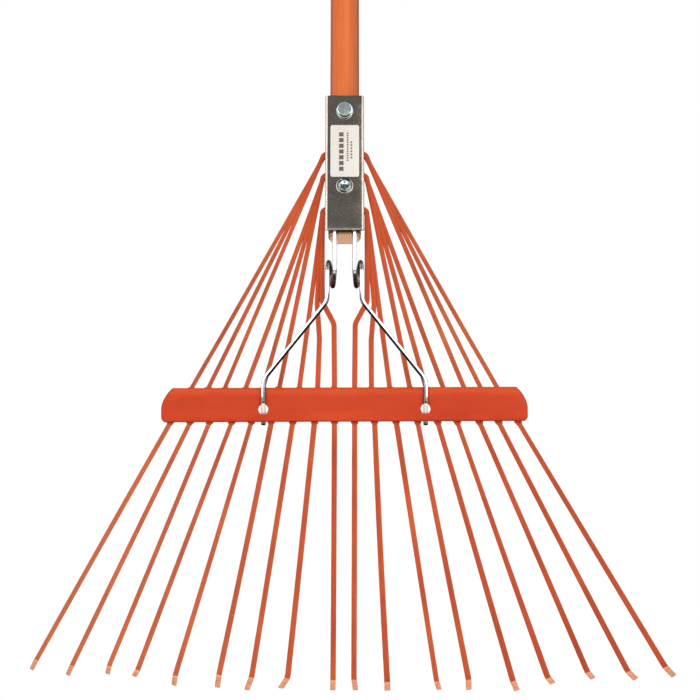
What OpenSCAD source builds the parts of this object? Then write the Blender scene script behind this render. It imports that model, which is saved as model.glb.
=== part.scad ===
// Spring-brace steel leaf rake: a wood handle bolted into a folded steel
// ferrule, nine hairpin spring wires that give eighteen tines, a curved
// crossbar welded across them, and a coiled wire brace from the ferrule to
// the crossbar.
// Frame: +Z runs up the handle axis and the tines hang towards -Z. The front,
// with the brace, faces -Y and the tips hook back towards +Y. Left is -X. The
// origin is on the handle axis, at the plane of the ferrule mouth.

/* [Handle] */
// Diameter of the painted shaft
shaft_d = 28.6; // [26:0.1:30]
// Overall length of the handle, with the part inside the ferrule
handle_len = 1219; // [600:1:1500]
// Diameter of the butt inside the ferrule
butt_d = 31.8; // [30.4:0.1:32.6]
// Radius of the rounded edge at the free end
end_round = 8; // [3:0.5:12]

/* [Ferrule] */
// Outside width of the ferrule
ferrule_w = 38; // [38:0.1:38.4]
// Length of the ferrule
ferrule_h = 145; // [144:0.5:146]
// Thickness of the ferrule sheet
sheet = 2.2; // [1.6:0.1:2.2]
// Outside radius of the folded edges
fold_r = 3; // [2.5:0.1:4]

/* [Fasteners] */
// Diameter of the two bolts
bolt_d = 6.4; // [6:0.1:8]
// Diameter of a round bolt head
head_d = 15.2; // [13:0.1:16]
// Height of a bolt head
head_h = 3.6; // [2.5:0.1:5]
// Width across the flats of a nut
nut_af = 11.1; // [10.5:0.1:13]
// Height of a nut
nut_h = 5.6; // [5:0.1:7]
// Outside diameter of a washer
washer_d = 16.4; // [16:0.1:18]
// Thickness of a washer
washer_t = 1.3; // [1:0.1:2]

/* [Label] */
// Width of the label on the ferrule
label_w = 28; // [20:1:30]
// Length of the label
label_h = 56; // [30:1:60]

/* [Tines] */
// Width of the flat spring wire
tine_w = 5; // [4:0.1:5]
// Thickness of the flat spring wire
tine_t = 1.8; // [1.4:0.1:1.8]
// Half the tip spread, from the middle to the outermost tip
half_spread = 288; // [250:1:310]
// Depth of the lowest tips' bends below the ferrule mouth
reach = 577; // [540:1:620]
// Rise of the outermost tips above the middle ones
tip_rise = 17; // [5:1:30]
// Radius of the bend at each tip
tip_bend_r = 5; // [4:0.5:8]
// Length of the straight hook after the tip bend
tip_len = 17; // [10:1:25]
// Angle that each tip is turned back through
tip_turn = 80; // [60:1:90]

/* [Crossbar] */
// Length of the crossbar
bar_len = 348.6; // [345:0.1:360]
// Thickness of the crossbar sheet
bar_sheet = 1.6; // [1.2:0.1:1.7]
// Outside radius of the curl along the top edge
curl_r = 8; // [7.5:0.1:8.2]
// Diameter of the two holes for the brace hooks
hook_hole_d = 9.5; // [9:0.1:10]

/* [Brace] */
// Diameter of the brace wire
brace_d = 4.5; // [4:0.1:4.6]
// Mean radius of each coil
coil_r = 11.6; // [10:0.1:12]
// Sideways travel of the wire in one turn of the coil
coil_pitch = 6.8; // [6:0.1:8]

/* [Hidden] */
$fn = 48;

wood_colour = [0.88, 0.47, 0.24];
tine_paint = [0.82, 0.30, 0.14];
bar_paint = [0.84, 0.30, 0.14];
zinc = [0.62, 0.62, 0.60];
brace_steel = [0.80, 0.82, 0.84];
paper = [0.93, 0.90, 0.86];

// Depths, front to back
wire_gap = 0.06;                       // between stacked wires, and from tines to bar foot
layer = tine_t + wire_gap;             // pitch of the stacked wire roots
front_y = -19.6;                       // outer face of the ferrule front
front_flat_y = -10.4;                  // planed flat in front, for the brace loop
flat_y = 12.8;                         // planed flat behind, under the wire roots
root_y = flat_y + 0.1 + tine_t / 2;    // centre of the front wire of a stack
tine_y = root_y + layer;               // plane that all tines share at the bar
back_in = root_y + 2 * layer + tine_t / 2 + 0.08;  // inner face of the back plate
back_y = back_in + sheet;              // outer face of the back plate

// Handle
butt_z = -145.8;                       // lower end of the wood
butt_taper = 12;                       // height of the cone from shaft to butt
butt_chamfer = 1.5;
flat_top_z = -11;                      // upper end of the planed flats

// Ferrule
inner_w = ferrule_w - 2 * sheet;
back_h = 125;                          // height of the back plate and the rear of the flanges
plate_gap = 0.12;                      // between the back plate and each flange
notch_drop = 4.4;                      // notch depth below the middle of a wire root
notch_gap = 0.5;                       // clearance above a wire root

// Fasteners
bolt_z = [-17, -98.6];                 // upper and lower
washer_gap = 0.05;                     // on each side of a washer
nut_gap = 0.02;
front_seat = front_y - washer_t - 2 * washer_gap;
back_seat = back_y + washer_t + 2 * washer_gap;
bolt_len = back_seat - front_seat + nut_h;  // from under the head to the nut's outer face
bolt_past_nut = [3, 2];                // upper and lower
head_rim = 0.6;                        // height of the straight edge of a head
nut_turn = 12;

// Wire roots and the heights where the wires meet the crossbar
level_z = [-47.4, -70.6, -107.6];      // three levels of roots, top to bottom
root_half = 16.9;                      // half length of a straight root
root_r = 5;                            // bend where the wire leaves the ferrule
root_steps = 6;
ease_z = [-236, -284];                 // wires ease from their stack into the tine plane
bar_in_z = -295;                       // where a tine meets the bar from above
bar_out_z = -330.6;                    // where it leaves the bar below
split_z = -331.6;                      // end of the upper wires
split_gap = 0.3;                       // along a lower tine, between it and its upper wire

// Distance of each tine from the middle, inner to outer, at the slightly
// uneven welds along the top and the bottom of the bar
in_x = [9.6, 25.7, 43.2, 62.4, 77.9, 94.4, 114.4, 130.2, 146.1];
out_x = [9.6, 28.6, 49.3, 69.6, 88.8, 107.5, 128.6, 146.9, 165.6];
outermost = len(out_x) - 1;
inner_tip_x = 9.8;

// Indices into the tables with one row for each side
left = 0;
right = 1;

// Hand-set wear of the single tips, inner to outer
// Sideways shift from the even spread, outward
lean = [[0.5, 7, 5, 0, 5, 4.5, -4, -5, -7],
        [-1, -5.5, 4.5, -1, 4.5, 1.5, 3, 5, 4.5]];
// Height above the even curve
rise = [[-0.5, 1, 1, 2, -0.5, 2, 3, 0, 1],
        [0, -2.5, -2.5, -2.5, -6, -5.5, -3, -6, -6]];
// Extra length of the hook
extra = [[0, 2, 9, 8, 2, -5, -1, 7, 5],
         [1, -3, -1, 1, 2, -5, -2, 5, 10]];
// Angle that the wire is twisted outward before its bend
skew = [[1, 16, 9, 4, 4, 13, 6, 11, 12],
        [4, 1, 7, 1, 10, 18, 17, 19, 18]];

// Extra [x, z] points of the two inner tines, joggled between root and bar
joggles = [[[[21.9, -206], [10.2, -229.5]], [[26.6, -208], [24.2, -244]]],
           [[[21.9, -206], [10.2, -229.5]], [[28.6, -208], [25.6, -246]]]];

// Crossbar section, as [y, z]
bar_lean = 14.9;                       // angle of the face from upright
foot_t = bar_sheet * 1.035;            // level thickness of the face at its foot
bar_foot = [tine_y - tine_t / 2 - wire_gap - foot_t, -330.3];  // front lower edge
curl_centre = [tine_y - tine_t / 2 - 0.36, -304];
bar_crook = 0.25;                      // angle that the bar is welded out of level
bar_lift = 0.4;

// Brace
leg_x = 9.6;
leg_y = front_y + sheet + 0.05 + brace_d / 2;
coil_z = -184.9;
hook_x = 77.2;
arm_foot_y = 3.7;
arm_top = [leg_x + coil_pitch + 0.3, leg_y, -218];
arm_foot = [hook_x, arm_foot_y, -291];
dive = [hook_x, arm_foot_y, -314.4];   // where the wire turns in to its hole
hole_centre = [hook_x, 10.8, -318.8];
dive_dir = unit(hole_centre - dive);
hook_low = dive + dive_dir * ((tine_y + 1.5 - dive[1]) / dive_dir[1]);
hook_end_z = -332.4;
arm_top_r = 14;
arm_foot_r = 16;
hook_r = 3.6;
brace_sides = 12;

// ---- Vectors, paths and skins ----

function unit(v) = v / norm(v);
function reverse(list) = [for (i = [len(list) - 1:-1:0]) list[i]];
function flip_x(path) = [for (p = path) [-p[0], p[1], p[2]]];

// Part of v that is square to a unit axis, at unit length
function square_to(v, axis) = unit(v - (v * axis) * axis);

// Point at height z on the line through two [x, z] points
function between(a, b, z) = a + (b - a) * (z - a[1]) / (b[1] - a[1]);

// Tangent at point i of a path, and the stretch that a mitre there needs
function tangent(path, i) =
    i == 0 ? unit(path[1] - path[0]) :
    i == len(path) - 1 ? unit(path[i] - path[i - 1]) :
    unit(unit(path[i] - path[i - 1]) + unit(path[i + 1] - path[i]));
function mitre(path, i) =
    i == 0 || i == len(path) - 1 ? 1 : 1 / (tangent(path, i) * unit(path[i] - path[i - 1]));

// Arc of the given radius and steps that rounds the corner at b between a and c
function corner(a, b, c, radius, steps) =
    let (to_a = unit(a - b),
         to_c = unit(c - b),
         opening = acos(to_a * to_c),
         centre = b + unit(to_a + to_c) * radius / sin(opening / 2),
         setback = radius / tan(opening / 2),
         first = unit(b + to_a * setback - centre),
         last = unit(b + to_c * setback - centre),
         sweep = 180 - opening)
    [for (j = [0:steps])
        centre + radius / sin(sweep)
            * (first * sin((1 - j / steps) * sweep) + last * sin(j / steps * sweep))];

// Section of the flat wire, square to the direction "along"
function flat_ring(centre, along, across, stretch = 1) =
    let (w = across * tine_w / 2 * stretch,
         t = unit(cross(w, along)) * tine_t / 2)
    [centre + w + t, centre - w + t, centre - w - t, centre + w - t];

// Skin of quads over rings of equal point count, closed by two end faces
module skin(rings) {
    n = len(rings[0]);
    last = len(rings) - 1;
    sides = [for (i = [0:last - 1]) for (j = [0:n - 1])
        let (k = (j + 1) % n) [i * n + k, i * n + j, (i + 1) * n + j, (i + 1) * n + k]];
    polyhedron(points = [for (ring = rings) each ring],
               faces = concat([[for (j = [0:n - 1]) j]],
                              sides,
                              [[for (j = [n - 1:-1:0]) last * n + j]]),
               convexity = 8);
}

// ---- Handle and ferrule ----

// Holes along Y for both bolts, running forward from depth y
module bolt_holes(clearance, y, length) {
    for (z = bolt_z)
        translate([0, y, z]) rotate([90, 0, 0]) cylinder(d = bolt_d + clearance, h = length);
}

// Wood handle: painted shaft with a rounded free end, a stouter butt with
// planed flats for the brace and the wire roots, and two bolt holes
module handle() {
    round_z = handle_len + butt_z - end_round;
    flat_cut = [40, 10, flat_top_z - butt_z + 5];
    color(wood_colour) difference() {
        union() {
            cylinder(d = shaft_d, h = round_z, $fn = 96);
            translate([0, 0, round_z]) rotate_extrude($fn = 96) union() {
                square([shaft_d / 2 - end_round, end_round]);
                translate([shaft_d / 2 - end_round, 0]) intersection() {
                    circle(r = end_round);
                    square(end_round);
                }
            }
            translate([0, 0, -butt_taper])
                cylinder(d1 = butt_d, d2 = shaft_d, h = butt_taper, $fn = 96);
            translate([0, 0, butt_z + butt_chamfer])
                cylinder(d = butt_d, h = -butt_z - butt_taper - butt_chamfer, $fn = 96);
            translate([0, 0, butt_z])
                cylinder(d1 = butt_d - 2 * butt_chamfer, d2 = butt_d, h = butt_chamfer, $fn = 96);
        }
        for (y = [flat_y, front_flat_y - flat_cut[1]])
            translate([-flat_cut[0] / 2, y, butt_z - 5]) cube(flat_cut);
        bolt_holes(clearance = 0.4, y = 20, length = 40);
    }
}

// Folded channel: front face and two side flanges, notched from the rear for
// the wires that leave on each side and cut off on a slope below
module ferrule_channel() {
    cut_w = 60;
    color(zinc) difference() {
        translate([0, 0, -ferrule_h]) linear_extrude(ferrule_h) difference() {
            union() {
                translate([-ferrule_w / 2 + fold_r, front_y])
                    square([ferrule_w - 2 * fold_r, fold_r * 2]);
                translate([-ferrule_w / 2, front_y + fold_r])
                    square([ferrule_w, back_y - front_y - fold_r]);
                for (s = [-1, 1])
                    translate([s * (ferrule_w / 2 - fold_r), front_y + fold_r])
                        circle(r = fold_r);
            }
            translate([-inner_w / 2, front_y + sheet]) square([inner_w, 60]);
        }
        for (z = level_z)
            translate([-cut_w / 2, flat_y - 0.3, z - notch_drop])
                cube([cut_w, 20, tine_w / 2 + notch_gap + notch_drop]);
        translate([-cut_w / 2, 0, 0]) rotate([90, 0, 90]) linear_extrude(cut_w)
            polygon([[front_y + sheet, -ferrule_h - 1],
                     [front_y + sheet, -ferrule_h],
                     [back_y, -back_h],
                     [back_y + 1, -back_h],
                     [back_y + 1, -ferrule_h - 1]]);
        bolt_holes(clearance = 0.5, y = front_y + 5, length = 10);
    }
}

// Plate that closes the channel behind the wire roots
module ferrule_back_plate() {
    color(zinc) difference() {
        translate([-inner_w / 2 + plate_gap, back_in, -back_h])
            cube([inner_w - 2 * plate_gap, sheet, back_h]);
        bolt_holes(clearance = 0.5, y = back_y + 5, length = 10);
    }
}

// Plain paper label between the bolts
module label() {
    r = 2;
    color(paper) translate([0.1, front_y - 0.03, -32.6 - label_h]) rotate([90, 0, 0])
        linear_extrude(0.25) union() {
            translate([-label_w / 2 + r, 0]) square([label_w - 2 * r, label_h]);
            translate([-label_w / 2, r]) square([label_w, label_h - 2 * r]);
            for (x = [-1, 1]) for (y = [r, label_h - r])
                translate([x * (label_w / 2 - r), y]) circle(r = r);
        }
}

// ---- Fasteners ----

// Round-headed bolt along +Y from the underside of its head
module round_bolt(length) {
    overlap = 1;
    end_taper = 1;
    dome_h = head_h - head_rim;
    dome_r = (head_d * head_d / 4 + dome_h * dome_h) / (2 * dome_h);
    dome_angle = asin(head_d / 2 / dome_r);
    dome = [for (k = [1:8]) let (a = dome_angle * k / 8)
        [dome_r * sin(a), dome_r * (1 - cos(a)) - head_h]];
    rotate([-90, 0, 0]) {
        rotate_extrude($fn = 72)
            polygon(concat([[0, 0], [0, -head_h]], dome, [[head_d / 2, 0]]));
        translate([0, 0, -overlap]) cylinder(d = bolt_d, h = length + overlap - end_taper);
        translate([0, 0, length - end_taper])
            cylinder(d1 = bolt_d, d2 = bolt_d - 1.6, h = end_taper);
    }
}

// Hex nut along +Y from its bearing face, corners up and down but for a small
// turn, with the corners of its outer face chamfered
module hex_nut() {
    chamfer = 1;
    rotate([-90, 0, 0]) rotate([0, 0, nut_turn]) difference() {
        intersection() {
            rotate([0, 0, 30]) cylinder(d = nut_af / cos(30), h = nut_h, $fn = 6);
            union() {
                cylinder(d = nut_af * 1.3, h = nut_h - chamfer);
                translate([0, 0, nut_h - chamfer])
                    cylinder(d1 = nut_af * 1.24, d2 = nut_af * 0.98, h = chamfer);
            }
        }
        translate([0, 0, -1]) cylinder(d = bolt_d + 0.1, h = nut_h + 2);
    }
}

// Upper bolt: head in front, nut behind
module upper_bolt() {
    color(zinc) translate([0, front_seat, bolt_z[0]]) round_bolt(bolt_len + bolt_past_nut[0]);
}

module upper_nut() {
    color(zinc) translate([0, back_seat + nut_gap, bolt_z[0]]) hex_nut();
}

// Lower bolt: turned round, with its nut in front
module lower_bolt() {
    color(zinc) translate([0, back_seat, bolt_z[1]]) rotate([0, 0, 180])
        round_bolt(bolt_len + bolt_past_nut[1]);
}

module lower_nut() {
    color(zinc) translate([0, front_seat - nut_gap, bolt_z[1]]) rotate([0, 0, 180]) hex_nut();
}

// One washer under each head and nut
module washers() {
    color(zinc) for (z = bolt_z) for (y = [front_y - washer_gap, back_y + washer_gap + washer_t])
        translate([0, y, z]) rotate([90, 0, 0]) difference() {
            cylinder(d = washer_d, h = washer_t);
            translate([0, 0, -1]) cylinder(d = bolt_d + 0.3, h = washer_t + 2);
        }
}

// ---- Tines: i runs from 0 next to the middle to 8 outermost ----

// The inner wires start at the lowest level, three to a stack
function wire_level_z(i) = level_z[2 - floor(i / 3)];
function stack(i) = i % 3;
function joggle(side, i) = i < len(joggles[side]) ? joggles[side][i] : [];

// Depth of a wire: its own stacking layer above, the shared tine plane below
function wire_y(i, z) =
    let (t = min(1, max(0, (ease_z[0] - z) / (ease_z[0] - ease_z[1]))))
    (root_y + layer * stack(i)) * (1 - t) + tine_y * t;

// Half of hairpin i as [x, z] points from root to bar, drawn on the +X side
function half_plan(side, i) =
    let (bar_in = [in_x[i], bar_in_z],
         bar_out = [out_x[i], bar_out_z],
         centre = [root_half, wire_level_z(i) - root_r],
         jog = joggle(side, i),
         run = (len(jog) > 0 ? jog[0] : bar_in) - centre,
         // Polar angle about the bend centre where the wire leaves on a tangent
         leave = atan2(run[1], run[0]) + acos(root_r / norm(run)),
         bend = [for (k = [0:root_steps]) let (a = (90 - leave) * k / root_steps)
             centre + root_r * [sin(a), cos(a)]],
         lead = concat(bend, jog),
         last = lead[len(lead) - 1])
    concat(lead,
           [between(last, bar_in, min(ease_z[0], last[1] - 2)),
            between(last, bar_in, ease_z[1]),
            bar_in,
            between(bar_in, bar_out, split_z)]);

function half_path(side, i) = [for (p = half_plan(side, i)) [p[0], wire_y(i, p[1]), p[1]]];

// Hairpin i: flat wire whose width stays in the XZ plane
module hairpin(i) {
    path = concat(flip_x(reverse(half_path(left, i))), half_path(right, i));
    color(tine_paint) skin([for (k = [0:len(path) - 1])
        let (along = tangent(path, k))
        flat_ring(path[k], along, unit(cross(along, [0, 1, 0])), mitre(path, k))]);
}

// Width direction of a wire after a twist
function twisted(across, angle) = across * cos(angle) - [0, sin(angle), 0];

// Lower tine i: a straight run from the bar that twists a little near its end,
// then the bent tip. Stations are [centre, direction, width direction].
module lower_tine(side, i) {
    bend_steps = 8;
    twist_steps = 4;
    twist_part = 0.24;                 // share of the run that twists
    angle = skew[side][i];
    top = [out_x[i], tine_y, bar_out_z];
    tip = [inner_tip_x + (half_spread - inner_tip_x) * i / outermost + lean[side][i],
           tine_y,
           -reach + tip_rise * pow(i / outermost, 2) + rise[side][i]];
    down = unit(tip - top);
    flat = cross(down, [0, 1, 0]);
    start = top + down * ((bar_out_z - split_z) / -down[2] + split_gap);
    across = twisted(flat, angle);
    back = flat * sin(angle) + [0, cos(angle), 0];
    twist = [for (k = [0:twist_steps - 1])
        [tip + (start - tip) * twist_part * (1 - k / twist_steps),
         down,
         twisted(flat, angle * k / twist_steps)]];
    bend = [for (k = [0:bend_steps]) let (a = tip_turn * k / bend_steps)
        [tip + tip_bend_r * (down * sin(a) + back * (1 - cos(a))),
         down * cos(a) + back * sin(a),
         across]];
    last = bend[bend_steps];
    hook_end = last[0] + last[1] * (tip_len + extra[side][i]);
    stations = concat([[start, down, flat]], twist, bend, [[hook_end, last[1], across]]);
    color(tine_paint) mirror([side == left ? 1 : 0, 0, 0])
        skin([for (s = stations) flat_ring(s[0], s[1], s[2])]);
}

// ---- Crossbar ----

// Leaning face and top curl, as [y, z]
module bar_section() {
    face_normal = [-cos(bar_lean), -sin(bar_lean)];
    inner_r = curl_r - bar_sheet;
    union() {
        intersection() {
            translate(curl_centre) difference() {
                circle(r = curl_r, $fn = 96);
                circle(r = inner_r, $fn = 96);
            }
            polygon([curl_centre,
                     curl_centre + face_normal * 30,
                     curl_centre + [-30, 0],
                     curl_centre + [-30, 30],
                     curl_centre + [0, 30]]);
        }
        polygon([curl_centre + face_normal * curl_r,
                 bar_foot,
                 bar_foot + [foot_t, 0],
                 curl_centre + face_normal * inner_r]);
    }
}

// Outline of the +X end, as [x, z]: a long blunt corner above, a small one below
function bar_end() =
    let (half = bar_len / 2,
         top_z = curl_centre[1] + curl_r + 0.5,
         upper = [11.5, 21],
         lower = [6.5, 8.5],
         round_part = 0.45,            // share of a true quarter round, the rest is straight
         flat_part = 0.55)
    concat(
        [for (k = [0:8])
            let (a = 90 * k / 8,
                 u = round_part * sin(a) + flat_part * k / 8,
                 v = round_part * cos(a) + flat_part * (1 - k / 8))
            [half - upper[0] * (1 - u), top_z - upper[1] * (1 - v)]],
        [for (k = [0:6]) let (a = 90 * k / 6)
            [half - lower[0] * (1 - cos(a)), bar_foot[1] + lower[1] * (1 - sin(a))]]);

// Curved crossbar: the section cut to rounded ends, with one hole on each side
// for the brace hooks, set a touch crooked so that the +X end is higher
module crossbar() {
    end = bar_end();
    foot_z = bar_foot[1];
    color(bar_paint)
        translate([0, 0, foot_z + bar_lift]) rotate([0, -bar_crook, 0]) translate([0, 0, -foot_z])
        difference() {
            intersection() {
                translate([bar_len / 2, 0, 0]) rotate([90, 0, -90]) linear_extrude(bar_len)
                    mirror([1, 0]) bar_section();
                translate([0, 30, 0]) rotate([90, 0, 0]) linear_extrude(60)
                    polygon(concat(end, [for (p = reverse(end)) [-p[0], p[1]]]));
            }
            for (s = [-1, 1])
                translate([s * hook_x, hole_centre[1], hole_centre[2]])
                    rotate([90 - bar_lean, 0, 0]) translate([0, 0, -8])
                    cylinder(d = hook_hole_d, h = 16);
        }
}

// ---- Brace ----

// The +X half: a loop over the lower bolt inside the ferrule, a leg, one turn
// of coil, then an arm whose end hooks through the crossbar
function half_brace() = concat(
    [for (a = [90:-15:0]) [leg_x * cos(a), leg_y, bolt_z[1] + leg_x * sin(a)]],
    [for (a = [0:15:360])
        [leg_x + coil_pitch * a / 360, leg_y + coil_r * (1 - cos(a)), coil_z - coil_r * sin(a)]],
    corner([leg_x + coil_pitch, leg_y, coil_z], arm_top, arm_foot, arm_top_r, 5),
    corner(arm_top, arm_foot, dive, arm_foot_r, 5),
    corner(arm_foot, dive, hook_low, hook_r, 4),
    corner(dive, hook_low, hook_low - [0, 0, 8], hook_r, 4),
    [[hook_low[0], hook_low[1], hook_end_z]]);

// Brace: one round wire through both halves
module brace_spring() {
    half = half_brace();
    path = concat(flip_x(reverse(half)), [for (i = [1:len(half) - 1]) half[i]]);
    count = len(path);
    along = [for (i = [0:count - 1]) tangent(path, i)];
    // Each normal is carried on from the one before, so that the skin doesn't twist
    normals = [for (i = 0, n = square_to([1, 0, 0], along[0]);
                    i < count;
                    i = i + 1, n = i < count ? square_to(n, along[i]) : n) n];
    color(brace_steel) skin([for (i = [0:count - 1])
        let (u = normals[i], v = cross(along[i], u))
        [for (j = [0:brace_sides - 1]) let (a = 360 * j / brace_sides)
            path[i] + (u * cos(a) - v * sin(a)) * brace_d / 2]]);
}

handle();
ferrule_channel();
ferrule_back_plate();
upper_bolt();
upper_nut();
lower_bolt();
lower_nut();
washers();
label();
brace_spring();
crossbar();
hairpin(0);  // tine_pair_1
hairpin(1);  // tine_pair_2
hairpin(2);  // tine_pair_3
hairpin(3);  // tine_pair_4
hairpin(4);  // tine_pair_5
hairpin(5);  // tine_pair_6
hairpin(6);  // tine_pair_7
hairpin(7);  // tine_pair_8
hairpin(8);  // tine_pair_9
lower_tine(left, 0);  // tine_left_1
lower_tine(left, 1);  // tine_left_2
lower_tine(left, 2);  // tine_left_3
lower_tine(left, 3);  // tine_left_4
lower_tine(left, 4);  // tine_left_5
lower_tine(left, 5);  // tine_left_6
lower_tine(left, 6);  // tine_left_7
lower_tine(left, 7);  // tine_left_8
lower_tine(left, 8);  // tine_left_9
lower_tine(right, 0);  // tine_right_1
lower_tine(right, 1);  // tine_right_2
lower_tine(right, 2);  // tine_right_3
lower_tine(right, 3);  // tine_right_4
lower_tine(right, 4);  // tine_right_5
lower_tine(right, 5);  // tine_right_6
lower_tine(right, 6);  // tine_right_7
lower_tine(right, 7);  // tine_right_8
lower_tine(right, 8);  // tine_right_9
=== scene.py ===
# A wire rake held upright. The handle runs up +Z from a folded zinc ferrule whose top edge is at
# z = 0. Eighteen flat tines fan down from the ferrule across a crossbar, and end in hooks that
# turn back towards +Y at about z = -0.58. A coiled wire brace ties ferrule and bar together.
# The front, with the label, faces -Y. Side -1 ("left") is -X and side 1 ("right") is +X.
# Shapes are worked out in millimetres and scaled by MM. Materials and lights are in metres.
import math
import random
from functools import cached_property

import bmesh
import bpy
from mathutils import Matrix, Vector, noise


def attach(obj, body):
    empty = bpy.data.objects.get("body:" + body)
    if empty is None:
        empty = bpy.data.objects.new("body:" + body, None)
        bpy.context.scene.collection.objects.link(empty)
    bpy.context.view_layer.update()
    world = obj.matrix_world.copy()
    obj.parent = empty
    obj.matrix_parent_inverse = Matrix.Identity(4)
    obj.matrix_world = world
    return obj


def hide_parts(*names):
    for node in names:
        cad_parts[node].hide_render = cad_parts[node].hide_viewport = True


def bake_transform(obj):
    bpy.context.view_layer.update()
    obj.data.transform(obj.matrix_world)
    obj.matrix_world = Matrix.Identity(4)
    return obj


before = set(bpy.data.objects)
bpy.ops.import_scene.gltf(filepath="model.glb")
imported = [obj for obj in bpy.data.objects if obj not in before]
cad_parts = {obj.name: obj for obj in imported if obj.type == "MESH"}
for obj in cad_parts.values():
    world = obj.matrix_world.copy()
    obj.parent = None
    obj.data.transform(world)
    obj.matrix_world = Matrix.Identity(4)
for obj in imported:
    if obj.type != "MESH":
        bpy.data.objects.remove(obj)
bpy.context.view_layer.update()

scene = bpy.context.scene
scene.view_settings.view_transform = "Standard"
scene.view_settings.look = "None"
random.seed(7)

# ------------------------------------------------------------------ measures
MM = 0.001
ROOT, HEAD = "handle_and_ferrule", "rake_head"      # the two moving bodies
SIDES = (-1, 1)

# handle: planed flat in front and behind where it sits in the ferrule
HANDLE_LENGTH, BUTT_Z = 1219, -145.8
FRONT_FLAT, FLAT_Y = 10.4, 12.8

# wires: flat steel, stacked in three layers behind the handle
TINE_W, TINE_T, TINE_CORNER = 5.0, 1.8, 0.62
LAYER = 1.86                                        # depth from one layer to the next
ROOT_Y = FLAT_Y + 0.1 + TINE_T / 2                  # first layer
TINE_Y = ROOT_Y + LAYER                             # the single layer from the bar down

# ferrule: sheet channel open at the back, closed by a plate
SHEET, FRONT_Y = 2.2, -19.6
BACK_IN = ROOT_Y + 2 * LAYER + TINE_T / 2 + 0.08
BACK_Y = BACK_IN + SHEET
FERRULE_W, FERRULE_H, FOLD_R, BACK_H = 38.0, 145.0, 3.0, 125.0
INNER_W = FERRULE_W - 2 * SHEET

# fasteners
BOLT_Z = (-17.0, -98.6)
HEAD_R, HEAD_H, BOLT_R = 7.6, 3.6, 3.2
NUT_AF, NUT_H, NUT_TURN = 11.1, 5.6, 12.0           # across flats, height, turn in degrees
NUT_CHAMFER = 1.0
THREAD_TIP, THREAD_PITCH, THREAD_DEPTH = 0.8, 1.27, 0.5
WASHER_R, WASHER_T = 8.2, 1.3

# hairpins: one wire makes a left and a right tine, crossing the ferrule at one of three levels
LEVEL_Z = (-47.4, -70.6, -107.6)
ROOT_BEND_X, ROOT_BEND_R = 16.9, 5.0                # bend outside the ferrule wall
EASE_Z = (-230, -288)                               # the three layers close up between these
BAR_IN_Z, BAR_OUT_Z, SPLIT_Z = -295.0, -330.6, -331.6
BAR_IN_X = (9.6, 25.7, 43.2, 62.4, 77.9, 94.4, 114.4, 130.2, 146.1)
BAR_OUT_X = (9.6, 28.6, 49.3, 69.6, 88.8, 107.5, 128.6, 146.9, 165.6)
# (x, z) bends between root and bar, by (side, wire); the other wires run straight
JOGS = {
    (-1, 0): [(21.9, -206.0), (10.2, -229.5)],
    (1, 0): [(21.9, -206.0), (10.2, -229.5)],
    (-1, 1): [(26.6, -208.0), (24.2, -244.0)],
    (1, 1): [(28.6, -208.0), (25.6, -246.0)],
}

# tips: x of the innermost and outermost, z of the innermost, and rise towards the outside
TIP_IN_X, TIP_OUT_X, TIP_Z, TIP_RISE = 9.8, 288, -577, 17
HOOK_BEND_R, HOOK_TURN, HOOK_LENGTH = 5.0, 80, 17.0
# wear of each tip by side, inner to outer: sideways lean, height, extra hook length (mm)
# and outward twist (degrees)
LEAN_X = {-1: (0.5, 7, 5, 0, 5, 4.5, -4, -5, -7), 1: (-1, -5.5, 4.5, -1, 4.5, 1.5, 3, 5, 4.5)}
RISE = {-1: (-0.5, 1, 1, 2, -0.5, 2, 3, 0, 1), 1: (0, -2.5, -2.5, -2.5, -6, -5.5, -3, -6, -6)}
EXTRA = {-1: (0, 2, 9, 8, 2, -5, -1, 7, 5), 1: (1, -3, -1, 1, 2, -5, -2, 5, 10)}
SKEW = {-1: (1, 16, 9, 4, 4, 13, 6, 11, 12), 1: (4, 1, 7, 1, 10, 18, 17, 19, 18)}
# share of the full wire width above the bar, just below it, and at the tip, inner to outer
SLIM_UP = {
    -1: (1.0, 0.96, 0.91, 0.88, 0.85, 0.90, 0.77, 0.80, 0.80),
    1: (1.0, 0.97, 0.93, 0.94, 0.92, 0.91, 0.89, 0.84, 0.84),
}
SLIM_TOP = {
    -1: (1.0, 1.05, 1.0, 1.0, 0.86, 0.82, 0.86, 0.86, 0.90),
    1: (1.0, 1.0, 1.03, 0.92, 0.94, 0.84, 0.92, 0.92, 0.88),
}
SLIM_LOW = {
    -1: (1.0, 1.03, 1.0, 1.0, 0.94, 0.93, 0.86, 0.87, 0.84),
    1: (1.0, 1.10, 0.94, 1.06, 1.09, 1.09, 1.04, 1.05, 1.06),
}

# crossbar: a leaning sheet whose top edge curls back over the wires
LEAN = math.radians(14.9)
BAR_HALF, BAR_T, CURL_R = 174.3, 1.6, 8.0
CURL_CENTRE = (TINE_Y - TINE_T / 2 - 0.36, -304.0)  # (y, z)
FOOT_T = BAR_T * 1.035                              # level thickness at the leaning foot
BAR_FOOT = (TINE_Y - TINE_T / 2 - 0.06 - FOOT_T, -330.3)
BAR_TOP_Z = CURL_CENTRE[1] + CURL_R
BAR_LIFT = 0.4
# the bar sits a touch crooked, a little higher at the +X end
BAR_TILT = (Matrix.Translation(Vector((0, 0, BAR_FOOT[1] + BAR_LIFT)) * MM)
            @ Matrix.Rotation(math.radians(-0.25), 4, "Y")
            @ Matrix.Translation(Vector((0, 0, -BAR_FOOT[1])) * MM))
# holes in the bar for the brace hooks
HOLE_X, HOLE_Y, HOLE_Z, HOLE_R = 77.2, 10.8, -318.8, 4.75

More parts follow.
